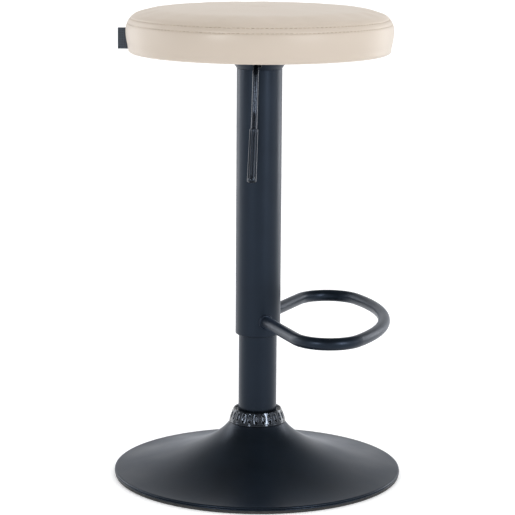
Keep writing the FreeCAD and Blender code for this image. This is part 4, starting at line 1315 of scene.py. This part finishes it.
# --- studio ---
@dataclass
class Studio:
    """A plain pale floor, soft light all round and the camera."""

    camera_place: Place = (0.0926, -2.7518, 0.8166)
    camera_turn: float = 1.95
    camera_tilt: float = 10.727
    camera_roll: float = 0.38
    lens: float = 147.2
    horizon: float = 0.95
    zenith: float = 0.1
    right_bias: float = 0.12
    sun_strength: float = 2.6
    sun_width: float = 100
    sun_lean: Point = (-10, 6)
    belt: Point = (0.34, 0.62)
    floor_glow: float = 0.24

    def floor(self) -> None:
        """A wide pale floor, which isn't part of the object."""
        deselect_all()
        bpy.ops.mesh.primitive_plane_add(size=60, location=(0, 0, -0.0002))
        plane = bpy.context.object
        plane.name = "studio_floor"
        dress_piece(plane, FLOOR_VINYL)
        shader = FLOOR_VINYL.material().node_tree.nodes["Principled BSDF"]
        shader.inputs["Emission Color"].default_value = WHITE
        shader.inputs["Emission Strength"].default_value = self.floor_glow

    def sky(self) -> None:
        """White walls all round, a little brighter on the right, fading to a dim ceiling."""
        world = bpy.data.worlds.new("studio")
        world.use_nodes = True
        tree = world.node_tree
        way = add_node(tree, "ShaderNodeTexCoord").outputs["Generated"]
        way = add_node(tree, "ShaderNodeSeparateXYZ", links={0: way}).outputs
        glow = add_node(tree, "ShaderNodeMapRange",
                        {"From Min": self.belt[0], "From Max": self.belt[1],
                         "To Min": self.horizon, "To Max": self.zenith},
                        {"Value": way["Z"]}, interpolation_type="SMOOTHSTEP")
        bias = add_node(tree, "ShaderNodeMath", {1: self.right_bias, 2: 1.0}, {0: way["X"]},
                        operation="MULTIPLY_ADD")
        both = add_node(tree, "ShaderNodeMath", links={0: glow.outputs[0], 1: bias.outputs[0]},
                        operation="MULTIPLY")
        background = tree.nodes["Background"]
        tree.links.new(both.outputs[0], background.inputs["Strength"])
        background.inputs["Color"].default_value = WHITE
        bpy.context.scene.world = world

    def lamp(self, name: str, place: Place, aim_height: float, size: Point, watts: float,
             gloss_only: bool = True) -> None:
        """A soft box.

        Args:
            name: its name.
            place: where it stands.
            aim_height: the height on the column that it points at.
            size: its width and height.
            watts: its power.
            gloss_only: True for one that only shows as a highlight.
        """
        light = bpy.data.lights.new(name, "AREA")
        light.shape = "RECTANGLE"
        light.size, light.size_y = size
        light.energy = watts
        lamp = put_in_scene(name, light)
        lamp.location = place
        lamp.rotation_euler = (UP * aim_height - Vector(place)).to_track_quat("-Z", "Y").to_euler()
        lamp.visible_diffuse = not gloss_only

    def sun(self) -> None:
        """A wide soft light from above, the same all over the floor, without a highlight."""
        light = bpy.data.lights.new("overhead", "SUN")
        light.energy = self.sun_strength
        light.angle = math.radians(self.sun_width)
        lamp = put_in_scene("overhead", light)
        lamp.rotation_euler = (math.radians(self.sun_lean[0]), math.radians(self.sun_lean[1]), 0)
        lamp.visible_glossy = False

    def camera(self) -> None:
        """The camera, without depth of field or shift."""
        data = bpy.data.cameras.new("camera")
        data.lens = self.lens
        data.sensor_width = 36
        data.clip_start, data.clip_end = 0.05, 100
        camera = put_in_scene("camera", data)
        camera.matrix_world = (
            Matrix.Translation(self.camera_place)
            @ Matrix.Rotation(math.radians(self.camera_turn), 4, "Z")
            @ Matrix.Rotation(math.radians(90 - self.camera_tilt), 4, "X")
            @ Matrix.Rotation(math.radians(self.camera_roll), 4, "Z"))
        bpy.context.scene.camera = camera

    def build(self) -> None:
        """Sets up the whole studio."""
        self.floor()
        self.sky()
        self.sun()
        self.lamp("right_box", (1.8, -2.1, 1.2), 0.4, (0.9, 2.0), 5, gloss_only=False)
        self.lamp("left_back_box", (-1.7, 1.1, 0.85), 0.4, (0.7, 1.7), 11)
        self.lamp("right_back_box", (1.7, 1.2, 0.65), 0.3, (0.7, 1.3), 10)
        self.lamp("left_side_box", (-2.2, 0.1, 0.8), 0.4, (0.45, 1.2), 6)
        self.lamp("right_side_box", (2.2, -0.35, 0.8), 0.4, (0.45, 1.2), 4)
        self.lamp("left_strip", (-1.15, -1.87, 1.0), 0.3, (0.3, 0.8), 18)
        self.lamp("right_strip", (1.45, -1.62, 1.0), 0.3, (0.3, 0.8), 22)
        self.camera()
        view = bpy.context.scene.view_settings
        view.view_transform = "Standard"
        view.look = "None"


def main() -> None:
    """Builds every sub-assembly in order, then the studio."""
    for part in (Cushion(), TrimCollar(), TrumpetBase(), SleeveFoot(), LeverGrip(), SideLabel(),
                 MetalAndFittings(), Studio()):
        log.info("building %s", type(part).__name__)
        part.build()


if __name__ == "__main__":
    main()
